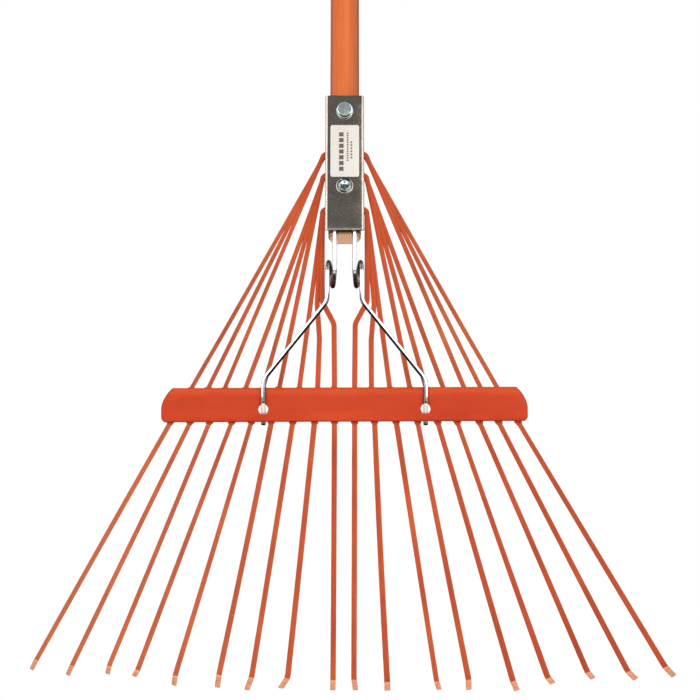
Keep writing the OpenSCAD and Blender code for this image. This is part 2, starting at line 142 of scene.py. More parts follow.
# brace spring
BRACE_R = 2.25
BRACE_LEG_X = 9.6
BRACE_LEG_Y = FRONT_Y + SHEET + 0.05 + BRACE_R      # just inside the ferrule front
COIL_Z, COIL_R, COIL_PITCH = -184.9, 11.6, 6.8

# label, on the ferrule front
LABEL_X, LABEL_Z, LABEL_HALF_W, LABEL_H, LABEL_CORNER = 0.1, -88.6, 14.0, 56.0, 2.0


# --------------------------------------------------------------- node helpers
def colour(value):
    """RGBA from a "#rrggbb" string or a linear triple. A socket passes through."""
    if isinstance(value, bpy.types.NodeSocket):
        return value
    if isinstance(value, str):
        parts = [byte / 255 for byte in bytes.fromhex(value[1:])]
        value = [c / 12.92 if c <= 0.04045 else ((c + 0.055) / 1.055) ** 2.4 for c in parts]
    return (*value, 1)


def scaled(triple, factor):
    return tuple(c * factor for c in triple)


class Nodes:
    """Small builder for one node tree. Values may be numbers or sockets."""

    def __init__(self, tree):
        self.tree = tree
        tree.nodes.clear()

    def node(self, kind, **settings):
        made = self.tree.nodes.new(kind)
        for key, value in settings.items():
            setattr(made, key, value)
        return made

    def put(self, socket, value):
        if isinstance(value, bpy.types.NodeSocket):
            self.tree.links.new(value, socket)
        else:
            socket.default_value = value

    def math(self, operation, *values):
        made = self.node("ShaderNodeMath", operation=operation)
        for socket, value in zip(made.inputs, values):
            self.put(socket, value)
        return made.outputs[0]

    def times(self, a, b):
        return self.math("MULTIPLY", a, b)

    def plus(self, a, b):
        return self.math("ADD", a, b)

    def minus(self, a, b):
        return self.math("SUBTRACT", a, b)

    def larger(self, a, b):
        return self.math("MAXIMUM", a, b)

    def above(self, value, limit):
        return self.math("GREATER_THAN", value, limit)

    def span(self, value, start, end, low=0.0, high=1.0, curve="LINEAR"):
        """Goes from low at value = start to high at value = end, and is flat beyond."""
        made = self.node("ShaderNodeMapRange", interpolation_type=curve)
        for socket, number in zip(made.inputs, (value, start, end, low, high)):
            self.put(socket, number)
        return made.outputs[0]

    def xyz(self, vector):
        made = self.node("ShaderNodeSeparateXYZ")
        self.put(made.inputs[0], vector)
        return made.outputs


class Material(Nodes):
    """A principled material whose textures use object coordinates, in metres."""

    INPUTS = {
        "color": "Base Color", "metal": "Metallic", "rough": "Roughness", "normal": "Normal",
        "coat": "Coat Weight", "coat_rough": "Coat Roughness", "spec": "Specular IOR Level",
    }

    def __init__(self, name):
        self.material = bpy.data.materials.new(name)
        self.material.use_nodes = True
        super().__init__(self.material.node_tree)
        self.out = self.node("ShaderNodeOutputMaterial")
        self.bsdf = self.node("ShaderNodeBsdfPrincipled")
        self.put(self.out.inputs[0], self.bsdf.outputs[0])
        self.coord = self.node("ShaderNodeTexCoord").outputs["Object"]

    @cached_property
    def geometry(self):
        return self.node("ShaderNodeNewGeometry").outputs

    def normal_part(self, axis):
        return self.xyz(self.geometry["Normal"])[axis]

    def mapped(self, scale, turn=(0, 0, 0), shift=(0, 0, 0)):
        made = self.node("ShaderNodeMapping")
        self.put(made.inputs["Vector"], self.coord)
        made.inputs["Scale"].default_value = scale
        made.inputs["Rotation"].default_value = turn
        made.inputs["Location"].default_value = shift
        return made.outputs[0]

    def noise(self, scale=1.0, detail=3.0, rough=0.55, distortion=0.0, stretch=None,
              turn=(0, 0, 0)):
        """stretch scales the coordinates by axis: a small number draws the noise out."""
        made = self.node("ShaderNodeTexNoise")
        self.put(made.inputs["Vector"], self.mapped(stretch, turn) if stretch else self.coord)
        made.inputs["Scale"].default_value = scale
        made.inputs["Detail"].default_value = detail
        made.inputs["Roughness"].default_value = rough
        made.inputs["Distortion"].default_value = distortion
        return made.outputs["Fac"]

    def ramp(self, factor, *stops):
        """stops are (position, colour) pairs."""
        made = self.node("ShaderNodeValToRGB")
        self.put(made.inputs["Fac"], factor)
        elements = made.color_ramp.elements
        elements.remove(elements[-1])
        for i, (position, shade_of) in enumerate(stops):
            element = elements.new(position) if i else elements[0]
            element.position = position
            element.color = colour(shade_of)
        return made.outputs["Color"]

    def mix(self, factor, under, over):
        made = self.node("ShaderNodeMix", data_type="RGBA")
        self.put(made.inputs[0], factor)
        self.put(made.inputs[6], colour(under))
        self.put(made.inputs[7], colour(over))
        return made.outputs[2]

    def attribute(self, name):
        return self.node("ShaderNodeAttribute", attribute_name=name).outputs["Fac"]

    def bump(self, height, strength, distance, normal=None):
        made = self.node("ShaderNodeBump")
        made.inputs["Strength"].default_value = strength
        made.inputs["Distance"].default_value = distance
        self.put(made.inputs["Height"], height)
        if normal is not None:
            self.put(made.inputs["Normal"], normal)
        return made.outputs[0]

    def finish(self, **values):
        for key, value in values.items():
            self.put(self.bsdf.inputs[self.INPUTS[key]], value)
        return self.material


# ------------------------------------------------------------------ materials
def painted_side_light(m, col):
    """Painted light and shade: paler paint towards -X, as if lit more from that side, and
    browner, shaded paint towards +X.
    """
    x = m.xyz(m.coord)[0]
    col = m.mix(m.span(x, -0.02, -0.24, high=0.32), col, "#c98a63")
    return m.mix(m.span(x, 0.06, 0.24, high=0.55), col, "#a53c1c")


def bar_tone(m, col):
    """Bar paint with painted light: a painted highlight band under the curled top, painted shade
    over the middle of the face, and dark lines along the cut ends and the top and foot edges.
    """
    top, foot, half = BAR_TOP_Z * MM, BAR_FOOT[1] * MM, BAR_HALF * MM
    slope = 0.00436                     # follows the bar's tilt
    x, _, z = m.xyz(m.coord)
    z = m.minus(m.minus(z, BAR_LIFT * MM), m.times(x, slope))
    # painted highlight: a brighter band just under the curled top, where it faces up into the
    # light
    col = m.mix(m.span(z, top - 0.0105, top - 0.0065, high=0.55), col, "#e2561c")
    # painted shade: darker over the middle of the face
    face = m.times(m.span(z, top - 0.0080, top - 0.0115),
                   m.span(z, foot + 0.0060, foot + 0.0105, high=0.45))
    col = m.mix(face, col, "#bf3a15")
    # the ends slope inwards towards the top
    inset = m.plus(m.span(z, top - 0.0215, top - 0.0152, high=0.0018),
                   m.span(z, top - 0.0152, top, high=0.0101))
    gap = m.minus(m.minus(half, m.math("ABSOLUTE", x)), inset)
    level_rims = m.larger(m.span(z, top - 0.0012, top - 0.0004),
                          m.span(z, foot + 0.0012, foot + 0.0003))
    rim = m.larger(m.span(gap, 0.0013, 0.0004), level_rims)
    patchy = m.span(m.noise(220), 0.3, 0.6, low=0.45, high=0.75)
    return m.mix(m.times(rim, patchy), col, "#7a3420")


def paint_material(name, base, light, dark, streak, rough=0.42, tips=False, fade=False,
                   middle=None, bar=False):
    """Sprayed orange-red paint: cloudy tone, painted shade in hollows and painted highlight on
    edges, chips to steel.

    streak stretches the tone, and middle is a brighter tone for the wires near x = 0.
    """
    m = Material(name)
    cloud = m.noise(38, detail=4, rough=0.6, stretch=streak)
    col = m.ramp(cloud, (0.28, dark), (0.5, base), (0.74, light))
    if fade:
        col = painted_side_light(m, col)
    if bar:
        col = bar_tone(m, col)
    if middle:
        near = m.span(m.math("ABSOLUTE", m.xyz(m.coord)[0]), 0.075, 0.030, high=0.8)
        col = m.mix(near, col, middle)
    fine = m.noise(900, rough=0.6, stretch=streak)
    col = m.mix(m.span(fine, 0.45, 0.75, high=0.22), col, dark)

    # painted highlight on the outside edges, and painted shade in the inside corners
    pointiness = m.geometry["Pointiness"]
    col = m.mix(m.times(m.span(pointiness, 0.5, 0.56), 0.28), col, light)
    col = m.mix(m.times(m.span(pointiness, 0.5, 0.44), 0.5), col, dark)

    chip = m.above(m.noise(420, detail=2, rough=0.5), 0.765)
    chip = m.times(chip, m.span(pointiness, 0.495, 0.53))
    if tips:
        # the hooked end is rubbed to thin pale paint, and its last bit to grey metal; both are
        # drawn paler than they are, as painted light on the down-turned hooks
        uneven = m.times(m.minus(m.noise(420), 0.5), 0.22)
        ragged = m.plus(m.attribute("wear"), uneven)
        salmon = m.ramp(m.noise(300), (0.3, "#ee9065"), (0.7, "#fdbb95"))
        col = m.mix(m.times(m.span(ragged, 0.52, 0.60), 0.94), col, salmon)
        chip = m.larger(chip, m.times(m.span(ragged, 0.93, 1.0), 0.9))
        steel = m.ramp(m.noise(700, detail=2), (0.3, "#a99a88"), (0.72, "#ded2c2"))
    else:
        steel = m.ramp(m.noise(1500, detail=2), (0.3, "#6b5a4e"), (0.7, "#9a8f84"))
    col = m.mix(chip, col, steel)

    orange_peel = m.noise(1500, detail=2, rough=0.5)
    skin = m.bump(orange_peel, strength=0.10, distance=0.0004)
    skin = m.bump(m.minus(1.0, chip), strength=0.35, distance=0.0003, normal=skin)
    sheen = m.span(m.noise(120), 0.3, 0.7, low=rough - 0.06, high=rough + 0.08)
    return m.finish(color=col, rough=m.plus(sheen, m.times(chip, 0.15)),
                    metal=m.times(chip, 0.55), normal=skin, spec=0.16)


def zinc_material(name, light, dark, rough, mottling, folds=False):
    """Bright zinc plating: cloudy spangle, faint rolling marks, scuffs and dulled patches.

    mottling scales the unevenness, and folds paints shade on the two folded edges of the channel.
    """
    m = Material(name)
    cloud = m.noise(70, detail=4, rough=0.62, distortion=0.6, stretch=(1, 1, 1))
    col = m.ramp(cloud, (0.3, dark), (0.7, light))
    cells = m.node("ShaderNodeTexVoronoi", feature="F1")
    m.put(cells.inputs["Vector"], m.coord)
    cells.inputs["Scale"].default_value = 320
    col = m.mix(m.span(cells.outputs["Distance"], 0.1, 0.6, high=0.12), col, dark)
    fine = m.noise(620, rough=0.6)
    col = m.mix(m.span(fine, 0.50, 0.70, high=0.55), col, scaled(light, 1.5))
    col = m.mix(m.span(fine, 0.50, 0.30, high=0.45), col, scaled(dark, 0.62))
    if folds:
        # painted shade: darker along both folds, darker and bluish on the right one, standing in
        # for a dimmer reflection there
        start, end = 0.0170, 0.0178
        x = m.xyz(m.coord)[0]
        both = m.span(m.math("ABSOLUTE", x), start, end, high=0.22)
        col = m.mix(both, col, scaled(dark, 0.45))
        bluish = tuple(c * k for c, k in zip(dark, (0.45, 0.45, 0.50)))
        col = m.mix(m.span(x, start, end, high=0.44), col, bluish)
    rolling = m.noise(30, detail=4, rough=0.7, stretch=(90, 90, 1.2))
    scuff = m.above(m.noise(55, detail=5, rough=0.75, stretch=(1.0, 1.0, 3.2),
                            turn=(0.3, 0.5, 0.6)), 0.69)
    col = m.mix(m.times(scuff, 0.35), col, (0.95, 0.95, 0.92))

    sheen = m.plus(m.span(cloud, 0.25, 0.75, low=rough, high=rough * 1.8), m.times(scuff, 0.16))
    sheen = m.plus(sheen, m.span(rolling, 0.4, 0.7, high=0.05))
    waves = m.noise(160, detail=4, rough=0.6)
    skin = m.bump(waves, strength=0.05 * mottling, distance=0.002)
    skin = m.bump(rolling, strength=0.02, distance=0.0005, normal=skin)
    skin = m.bump(m.noise(900, rough=0.6), strength=0.03 * mottling, distance=0.0006,
                  normal=skin)
    return m.finish(color=col, metal=1.0, rough=sheen, normal=skin)


def wire_hook_shade(m, x, z):
    """Mask of painted shade on the inner side of each hook and round its bends, by height,
    standing in for dark reflections there.
    """
    inner = m.times(m.math("SIGN", x), m.times(m.normal_part(0), -1.0))
    hook_shade = m.times(m.span(z, -0.288, -0.300), m.span(inner, -0.25, 0.15))
    hook_shade = m.larger(hook_shade, m.times(m.span(z, -0.3075, -0.3105), 0.92))
    hook_shade = m.times(hook_shade, m.span(z, -0.3160, -0.3150))
    return m.larger(hook_shade, m.span(z, -0.3285, -0.3300, high=0.9))


def wire_underside_shade(m, x, z):
    """Mask of a painted dark reflection along the underside of each arm."""
    outward = m.times(m.math("SIGN", x), m.normal_part(0))
    under = m.plus(m.times(outward, -0.77), m.times(m.normal_part(2), -0.638))
    along = m.times(m.span(z, -0.203, -0.212), m.span(z, -0.302, -0.292))
    return m.times(m.span(under, 0.10, 0.30, high=0.92), along)


def wire_material(name):
    """Drawn and bright-plated spring wire with draw marks and dull spots, painted shade on the
    hooks, arm undersides, edges and coils, painted highlights on the coils, and near-white where
    the hooks pass the holes.
    """
    m = Material(name)
    x, _, z = m.xyz(m.coord)
    col = m.ramp(m.noise(140, detail=4, rough=0.6), (0.3, "#c3c7cd"), (0.7, "#e6e8ea"))
    spots = m.above(m.noise(480, rough=0.6), 0.71)
    col = m.mix(m.times(spots, 0.4), col, "#7d8288")
    # painted reflection: dark edges where the wire turns away from view
    facing = m.node("ShaderNodeLayerWeight")
    facing.inputs["Blend"].default_value = 0.5
    col = m.mix(m.span(facing.outputs["Facing"], 0.27, 0.46, high=0.85), col, "#5f5d68")
    # painted dark reflection along the arms' undersides
    col = m.mix(wire_underside_shade(m, x, z), col, "#2c2e38")
    patchy = m.span(m.noise(300), 0.25, 0.5, low=0.75, high=1.0)
    hook_shade = m.times(wire_hook_shade(m, x, z), patchy)
    # painted shade on the hooks
    col = m.mix(hook_shade, col, "#5a4d47")

    # painted shade makes the coils near black, with painted highlights in a few specks and a line
    # in front
    coil_shade = m.times(m.attribute("coil"),
                   m.span(m.noise(520, detail=2), 0.70, 0.60, low=0.35, high=0.96))
    coil_glint = m.span(m.math("ABSOLUTE", m.plus(z, 0.1888)), 0.0011, 0.0005)
    coil_glint = m.times(coil_glint, m.span(m.normal_part(1), -0.90, -0.97))
    coil_shade = m.times(coil_shade, m.minus(1.0, coil_glint))
    col = m.mix(coil_shade, col, m.ramp(m.noise(240), (0.35, "#3c3835"), (0.7, "#6d625c")))

    # where each hook passes through its hole the wire is drawn near-white and not metallic
    hole_white = m.times(m.span(z, -0.3155, -0.3162), m.span(z, -0.3255, -0.3235))
    hole_white = m.times(hole_white, m.span(m.noise(700), 0.30, 0.42, low=0.6, high=1.0))
    col = m.mix(hole_white, col, "#fbf3e4")

    rough = m.plus(m.span(m.noise(90), 0.3, 0.7, low=0.09, high=0.17), m.times(spots, 0.18))
    marked_rough = m.larger(m.larger(hook_shade, coil_shade), hole_white)
    rough = m.plus(rough, m.times(marked_rough, 0.2))
    draw_marks = m.noise(40, rough=0.6, stretch=(60, 60, 3))
    return m.finish(color=col, metal=m.minus(1.0, hole_white), rough=rough,
                    normal=m.bump(draw_marks, strength=0.05, distance=0.0004))


def bare_ash(m, x, y, z):
    """Bare butt: long grain on the sides, growth rings on the end."""
    grain = m.noise(detail=5, rough=0.6, distortion=0.8, stretch=(330, 330, 9))
    bare = m.ramp(grain, (0.25, "#c89a5c"), (0.5, "#e8c083"), (0.78, "#f8d9a4"))
    rings = m.node("ShaderNodeTexWave", wave_type="RINGS", rings_direction="Z")
    m.put(rings.inputs["Vector"], m.mapped((1, 1, 0.02), shift=(0.022, 0.009, 0)))
    settings = {"Scale": 130, "Distortion": 1.6, "Detail": 3, "Detail Scale": 8}
    for key, value in settings.items():
        rings.inputs[key].default_value = value
    end_grain = m.ramp(rings.outputs["Fac"], (0.1, "#dca668"), (0.5, "#f0c88e"),
                       (0.9, "#ffd8be"))
    down = m.span(m.normal_part(2), -0.55, -0.8)
    bare = m.mix(down, bare, end_grain)

    # painted shadow where the sheet ends, a painted highlight on the arris below it, and a dark
    # outline on the end
    side = m.minus(1.0, down)
    sheet_shadow = m.times(m.span(z, -0.1441, -0.1437), side)
    bare = m.mix(m.times(sheet_shadow, 0.85), bare, "#4a3520")
    arris_highlight = m.times(m.span(z, -0.1451, -0.1453), side)
    bare = m.mix(m.times(arris_highlight, 0.95), bare, "#e3c08a")
    radius = m.math("SQRT", m.plus(m.times(x, x), m.times(y, y)))
    outline = m.larger(m.span(radius, 0.0138, 0.0145), m.span(y, 0.0116, 0.0122))
    return m.mix(m.times(m.times(outline, down), 0.75), bare, "#6a5533")


def handle_material():
    """Satin orange paint on ash: grain shows through as long streaks. The butt is bare."""
    m = Material("painted_ash")
    x, y, z = m.xyz(m.coord)
    streak = m.noise(detail=5, rough=0.62, distortion=0.4, stretch=(210, 210, 7))
    paint = m.ramp(streak, (0.22, "#c45a24"), (0.45, "#da692c"), (0.62, "#e17235"),
                   (0.85, "#e97f42"))
    pores = m.noise(detail=4, rough=0.7, stretch=(1500, 1500, 26))
    paint = m.mix(m.span(pores, 0.58, 0.78, high=0.35), paint, "#b04c19")
    blotch = m.noise(14, rough=0.5)
    paint = m.mix(m.span(blotch, 0.35, 0.75, high=0.18), paint, "#ea8247")
    # painted shade: darker towards the +X side of the handle
    paint = m.mix(m.span(x, 0.002, 0.0140, high=0.75), paint, "#a0431a")

    # the paint ends in a slightly wavy line just below the ferrule top
    line = m.plus(z, m.times(m.minus(m.noise(120), 0.5), 0.004))
    painted = m.span(line, -0.0065, -0.0055)
    col = m.mix(painted, bare_ash(m, x, y, z), paint)
    scuffs = m.above(m.noise(detail=5, rough=0.75, stretch=(60, 60, 16)), 0.735)
    col = m.mix(m.times(m.times(scuffs, painted), 0.55), col, "#b8602f")

    height = m.plus(m.times(streak, 0.6), m.times(pores, -0.5))
    skin = m.bump(height, strength=0.16, distance=0.0008)
    skin = m.bump(m.noise(700), strength=0.05, distance=0.0005, normal=skin)
    bare_rough, paint_rough = (0.7,) * 3, (0.36,) * 3
    rough = m.plus(m.mix(painted, bare_rough, paint_rough),
                   m.span(m.noise(60), 0.3, 0.7, low=-0.05, high=0.08))
    return m.finish(color=col, rough=rough, normal=skin, spec=0.2)


# bars on the label, as shares of its width and height:
# left, right, bottom, top, dashes over the full height, inked share of each dash
LABEL_BARS = (
    (0.30, 0.46, 0.104, 0.868, 9.0, 0.74),
    (0.57, 0.63, 0.300, 0.858, 23.0, 0.62),
    (0.70, 0.76, 0.348, 0.692, 17.0, 0.62),
)


def label_material():
    """Cream paper, slightly yellowed in patches, with plain dashed bars for print."""
    m = Material("label_paper")
    x, _, z = m.xyz(m.coord)
    across = m.span(x, (LABEL_X - LABEL_HALF_W) * MM, (LABEL_X + LABEL_HALF_W) * MM)
    up = m.span(z, LABEL_Z * MM, (LABEL_Z + LABEL_H) * MM)

    def band(value, low, high, soft=0.004):
        return m.times(m.span(value, low - soft, low + soft),
                       m.span(value, high + soft, high - soft))

    marks = None
    for left, right, bottom, top, rate, inked in LABEL_BARS:
        bar = m.times(band(across, left, right), band(up, bottom, top))
        dash = m.math("LESS_THAN", m.math("FRACT", m.times(up, rate)), inked)
        bar = m.times(bar, dash)
        marks = m.larger(marks, bar) if marks else bar
    fibre = m.noise(detail=4, rough=0.65, stretch=(900, 900, 260))
    paper = m.ramp(fibre, (0.3, "#ddd5ca"), (0.7, "#ece5dc"))
    paper = m.mix(m.span(m.noise(90, rough=0.6), 0.45, 0.8, high=0.25), paper, "#ddd0b8")
    ink = m.ramp(m.noise(1300, detail=2), (0.35, "#2a2724"), (0.7, "#4a4540"))
    return m.finish(color=m.mix(m.times(marks, 0.93), paper, ink), rough=0.42,
                    normal=m.bump(fibre, strength=0.06, distance=0.0003),
                    coat=0.15, coat_rough=0.3)


M_TINE = paint_material("paint_tine", base="#be491f", light="#d45e2c", dark="#9d3816",
                        streak=(1, 1, 0.35), tips=True, fade=True)
M_HAIRPIN = paint_material("paint_hairpin", base="#b84f25", light="#cd6535", dark="#933c1d",
                           streak=(1, 1, 0.35), middle="#d24c1d")
M_BAR = paint_material("paint_bar", base="#ce3e16", light="#da4c1d", dark="#b93412",
                       streak=(0.25, 1, 1), rough=0.38, bar=True)
M_ZINC = zinc_material("zinc_sheet", light=(0.42, 0.38, 0.335), dark=(0.31, 0.275, 0.235),
                       rough=0.05, mottling=0.5, folds=True)
M_BOLT = zinc_material("zinc_fastener", light=(0.50, 0.56, 0.57), dark=(0.35, 0.41, 0.43),
                       rough=0.16, mottling=0.9)
M_WASHER = zinc_material("zinc_washer", light=(0.46, 0.44, 0.41), dark=(0.33, 0.31, 0.29),
                         rough=0.10, mottling=0.7)
M_WIRE = wire_material("bright_wire")
M_HANDLE = handle_material()


# ------------------------------------------------------------- mesh utilities
def shade(ob, angle=30):
    """Smooth shading, broken at edges sharper than angle."""
    me = ob.data
    me.polygons.foreach_set("use_smooth", [True] * len(me.polygons))
    me.set_sharp_from_angle(angle=math.radians(angle))
    me.update()


def add_object(name, me, mat):
    ob = bpy.data.objects.new(name, me)
    scene.collection.objects.link(ob)
    me.materials.append(mat)
    return ob


def build(name, verts, faces, mat, smooth_angle=32, attrs=None):
    """Object from points in metres. attrs maps names to one value per vertex."""
    me = bpy.data.meshes.new(name)
    me.from_pydata([tuple(v) for v in verts], [], faces)
    me.validate(verbose=False)
    me.update()
    bm = bmesh.new()
    bm.from_mesh(me)
    bmesh.ops.recalc_face_normals(bm, faces=bm.faces)
    bm.to_mesh(me)
    bm.free()
    for key, values in (attrs or {}).items():
        me.attributes.new(key, "FLOAT", "POINT").data.foreach_set("value", values)
    ob = add_object(name, me, mat)
    shade(ob, smooth_angle)
    return ob


def tube_faces(rings, sides, flip_caps=False, closed=False):
    """Faces of a tube of stacked rings, capped at both ends or closed into a loop."""
    faces = []
    for i in range(rings if closed else rings - 1):
        a, b = i * sides, (i + 1) % rings * sides
        for j in range(sides):
            q = (j + 1) % sides
            faces.append((a + j, a + q, b + q, b + j))
    if not closed:
        first = tuple(range(sides))
        last = tuple((rings - 1) * sides + j for j in range(sides))
        faces += [first[::-1], last] if flip_caps else [first, last[::-1]]
    return faces


def sweep(name, path, section, mat, smooth_angle, attrs=None):
    """section(i, tangent) gives the ring round path[i]. attrs has one value per path point."""
    last = len(path) - 1
    verts = []
    for i in range(last + 1):
        before = (path[i] - path[i - 1]).normalized() if i else None
        after = (path[i + 1] - path[i]).normalized() if i < last else None
        if before is None or after is None:
            tangent = before or after
        else:
            tangent = (before + after).normalized()
        verts += section(i, tangent)
    sides = len(verts) // len(path)
    spread = {key: [v for v in values for _ in range(sides)]
              for key, values in (attrs or {}).items()}
    return build(name, verts, tube_faces(len(path), sides), mat, smooth_angle, spread)


def prism(name, outline, lo, hi, mat, axis="Y"):
    """Pushes an outline from lo to hi along Y (outline in XZ) or X (outline in YZ), in mm."""
    n = len(outline)
    if axis == "Y":
        verts = [Vector((a, depth, b)) * MM for depth in (lo, hi) for a, b in outline]
    else:
        verts = [Vector((depth, a, b)) * MM for depth in (lo, hi) for a, b in outline]
    faces = [tuple(range(n)), tuple(range(2 * n - 1, n - 1, -1))]
    faces += [(j, (j + 1) % n, n + (j + 1) % n, n + j) for j in range(n)]
    return build(name, verts, faces, mat)


def lathe(name, profile, mat, axis="Y", seg=96, wobble=None, closed=False):
    """Revolves (radius, height) pairs in mm about an axis. closed makes a ring."""
    verts = []
    for radius, h in profile:
        for j in range(seg):
            a = 2 * math.pi * j / seg
            r = radius + (wobble(a, h) if wobble else 0)
            u, v = r * math.cos(a), r * math.sin(a)
            verts.append(Vector((u, v, h) if axis == "Z" else (u, h, v)) * MM)
    return build(name, verts, tube_faces(len(profile), seg, flip_caps=True, closed=closed), mat)


def applied(ob):
    """Bakes an object's modifiers into its mesh."""
    depsgraph = bpy.context.evaluated_depsgraph_get()
    me = bpy.data.meshes.new_from_object(ob.evaluated_get(depsgraph))
    old = ob.data
    ob.modifiers.clear()
    ob.data = me
    bpy.data.meshes.remove(old)


def boolean(ob, other, operation="DIFFERENCE"):
    mod = ob.modifiers.new(operation, "BOOLEAN")
    mod.operation = operation
    mod.solver = "EXACT"
    mod.object = other
    applied(ob)
    bpy.data.objects.remove(other)


def bevel(ob, width, segments=2, angle=40):
    mod = ob.modifiers.new("bevel", "BEVEL")
    mod.width = width * MM
    mod.segments = segments
    mod.limit_method = "ANGLE"
    mod.angle_limit = math.radians(angle)
    mod.miter_outer = "MITER_ARC"
    applied(ob)


def join(name, objs):
    """Merges objects of one material into a new one."""
    bm = bmesh.new()
    mat = objs[0].data.materials[0]
    for ob in objs:
        bm.from_mesh(ob.data)
    me = bpy.data.meshes.new(name)
    bm.to_mesh(me)
    bm.free()
    joined = add_object(name, me, mat)
    for ob in objs:
        bpy.data.objects.remove(ob)
    return joined


def raise_to(ob, z):
    ob.data.transform(Matrix.Translation(Vector((0, 0, z * MM))))


def arc(cx, cy, r, start, turn, steps):
    """Points on an arc, from the angle start through turn, both in radians."""
    angles = [start + turn * k / steps for k in range(steps + 1)]
    return [(cx + r * math.cos(a), cy + r * math.sin(a)) for a in angles]


def rounded_rect(w, t, r, steps=2, cx=0.0, cy=0.0):
    """Ring of (a, b) pairs round a w by t rectangle with rounded corners."""
    ring = []
    for sx, sy, start in ((1, 1, 0), (-1, 1, 90), (-1, -1, 180), (1, -1, 270)):
        for k in range(steps + 1):
            a = math.radians(start + 90 * k / steps)
            ring.append((cx + sx * (w / 2 - r) + r * math.cos(a),
                         cy + sy * (t / 2 - r) + r * math.sin(a)))
    return ring


def fillet_path(pts, radii, steps):
    """Rounds the corners of a 3D polyline."""
    out = [pts[0]]
    for i in range(1, len(pts) - 1):
        before, corner, after = pts[i - 1], pts[i], pts[i + 1]
        u, v = (before - corner).normalized(), (after - corner).normalized()
        angle = math.acos(max(-1, min(1, u.dot(v))))
        r = radii[i]
        if r <= 0 or angle > math.radians(179.3):
            out.append(corner)
            continue
        cut = min(r / math.tan(angle / 2), 0.45 * (before - corner).length,
                  0.45 * (after - corner).length)
        r = cut * math.tan(angle / 2)
        centre = corner + (u + v).normalized() * r / math.sin(angle / 2)
        e = (corner + u * cut - centre).normalized()
        f = (corner + v * cut - centre).normalized()
        turn = math.pi - angle
        for j in range(steps + 1):
            blend = e * math.sin((1 - j / steps) * turn) + f * math.sin(j / steps * turn)
            out.append(centre + r * blend / math.sin(turn))
    out.append(pts[-1])
    return out


def resample(path, step):
    """Splits long straight stretches so that the wire can bend."""
    out = [path[0]]
    for a, b in zip(path, path[1:]):
        n = max(1, int(math.ceil((b - a).length / step)))
        out += [a.lerp(b, k / n) for k in range(1, n + 1)]
    return out


def both_halves(left, right):
    """Full path in metres, from two halves in mm that start at the middle on the +X side."""
    mirrored = [Vector((-p.x, p.y, p.z)) for p in left[::-1]]
    return [p * MM for p in mirrored + right[1:]]


def noisy(v, scale, amount, seed):
    """Smooth random value at a point, for small irregularities."""
    place = Vector((v.x * scale + seed, v.y * scale - seed, v.z * scale + 2 * seed))
    return amount * noise.noise(place)


def clamp(value):
    return min(1.0, max(0.0, value))


def ease(value):
    value = clamp(value)
    return value * value * (3 - 2 * value)


# ----------------------------------------------------- handle and its ferrule
def make_handle():
    top = HANDLE_LENGTH + BUTT_Z
    r, butt_r, round_r = 14.3, 15.9, 8
    prof = [(14.5, BUTT_Z), (15.1, BUTT_Z + 0.35), (butt_r, BUTT_Z + 1.5)]
    prof += [(butt_r, z) for z in (-142, -125, -100, -75, -50, -30, -11.6, -11.4, -11.38)]
    prof += [(15.86, -11.2), (14.31, -0.4), (r, 0.0)]
    z = 25.0
    while z < top - 9:
        prof.append((r, z))
        z += 30
    prof.append((r, top - 8.2))
    prof += arc(6.3, top - round_r, round_r, 0, math.pi / 2, 10)
    prof.append((3.0, top + 0.02))

    def wobble(a, h):
        if h > 5:
            return -0.05 + 0.05 * math.sin(h * 0.021 + 1.3) * math.cos(2 * a + h * 0.004)
        return -0.04 + 0.03 * math.sin(3 * a + h * 0.05)

    ob = lathe("vis_handle", prof, M_HANDLE, axis="Z", wobble=wobble)
    for v in ob.data.vertices:            # planed flats on the butt
        if v.co.z < -0.01155:
            v.co.y = max(-FRONT_FLAT * MM, min(FLAT_Y * MM, v.co.y))
    bm = bmesh.new()
    bm.from_mesh(ob.data)
    bmesh.ops.remove_doubles(bm, verts=bm.verts, dist=1e-7)
    bm.to_mesh(ob.data)
    bm.free()
    shade(ob, 28)
    return ob


def channel_section():
    """Closed (x, y) section of the channel: outside left to right, then inside back."""
    half, inner = FERRULE_W / 2, INNER_W / 2
    fold, inner_fold = FOLD_R - 0.6, 0.8
    quarter = math.pi / 2
    front_in = FRONT_Y + SHEET + inner_fold
    ring = [(-half, BACK_Y)]
    ring += arc(-half + fold, FRONT_Y + fold, fold, math.pi, quarter, 10)
    ring += arc(half - fold, FRONT_Y + fold, fold, 1.5 * math.pi, quarter, 10)
    ring += [(half, BACK_Y), (inner, BACK_Y)]
    ring += arc(inner - inner_fold, front_in, inner_fold, 0, -quarter, 4)
    ring += arc(-inner + inner_fold, front_in, inner_fold, 1.5 * math.pi, -quarter, 4)
    ring.append((-inner, BACK_Y))
    return ring


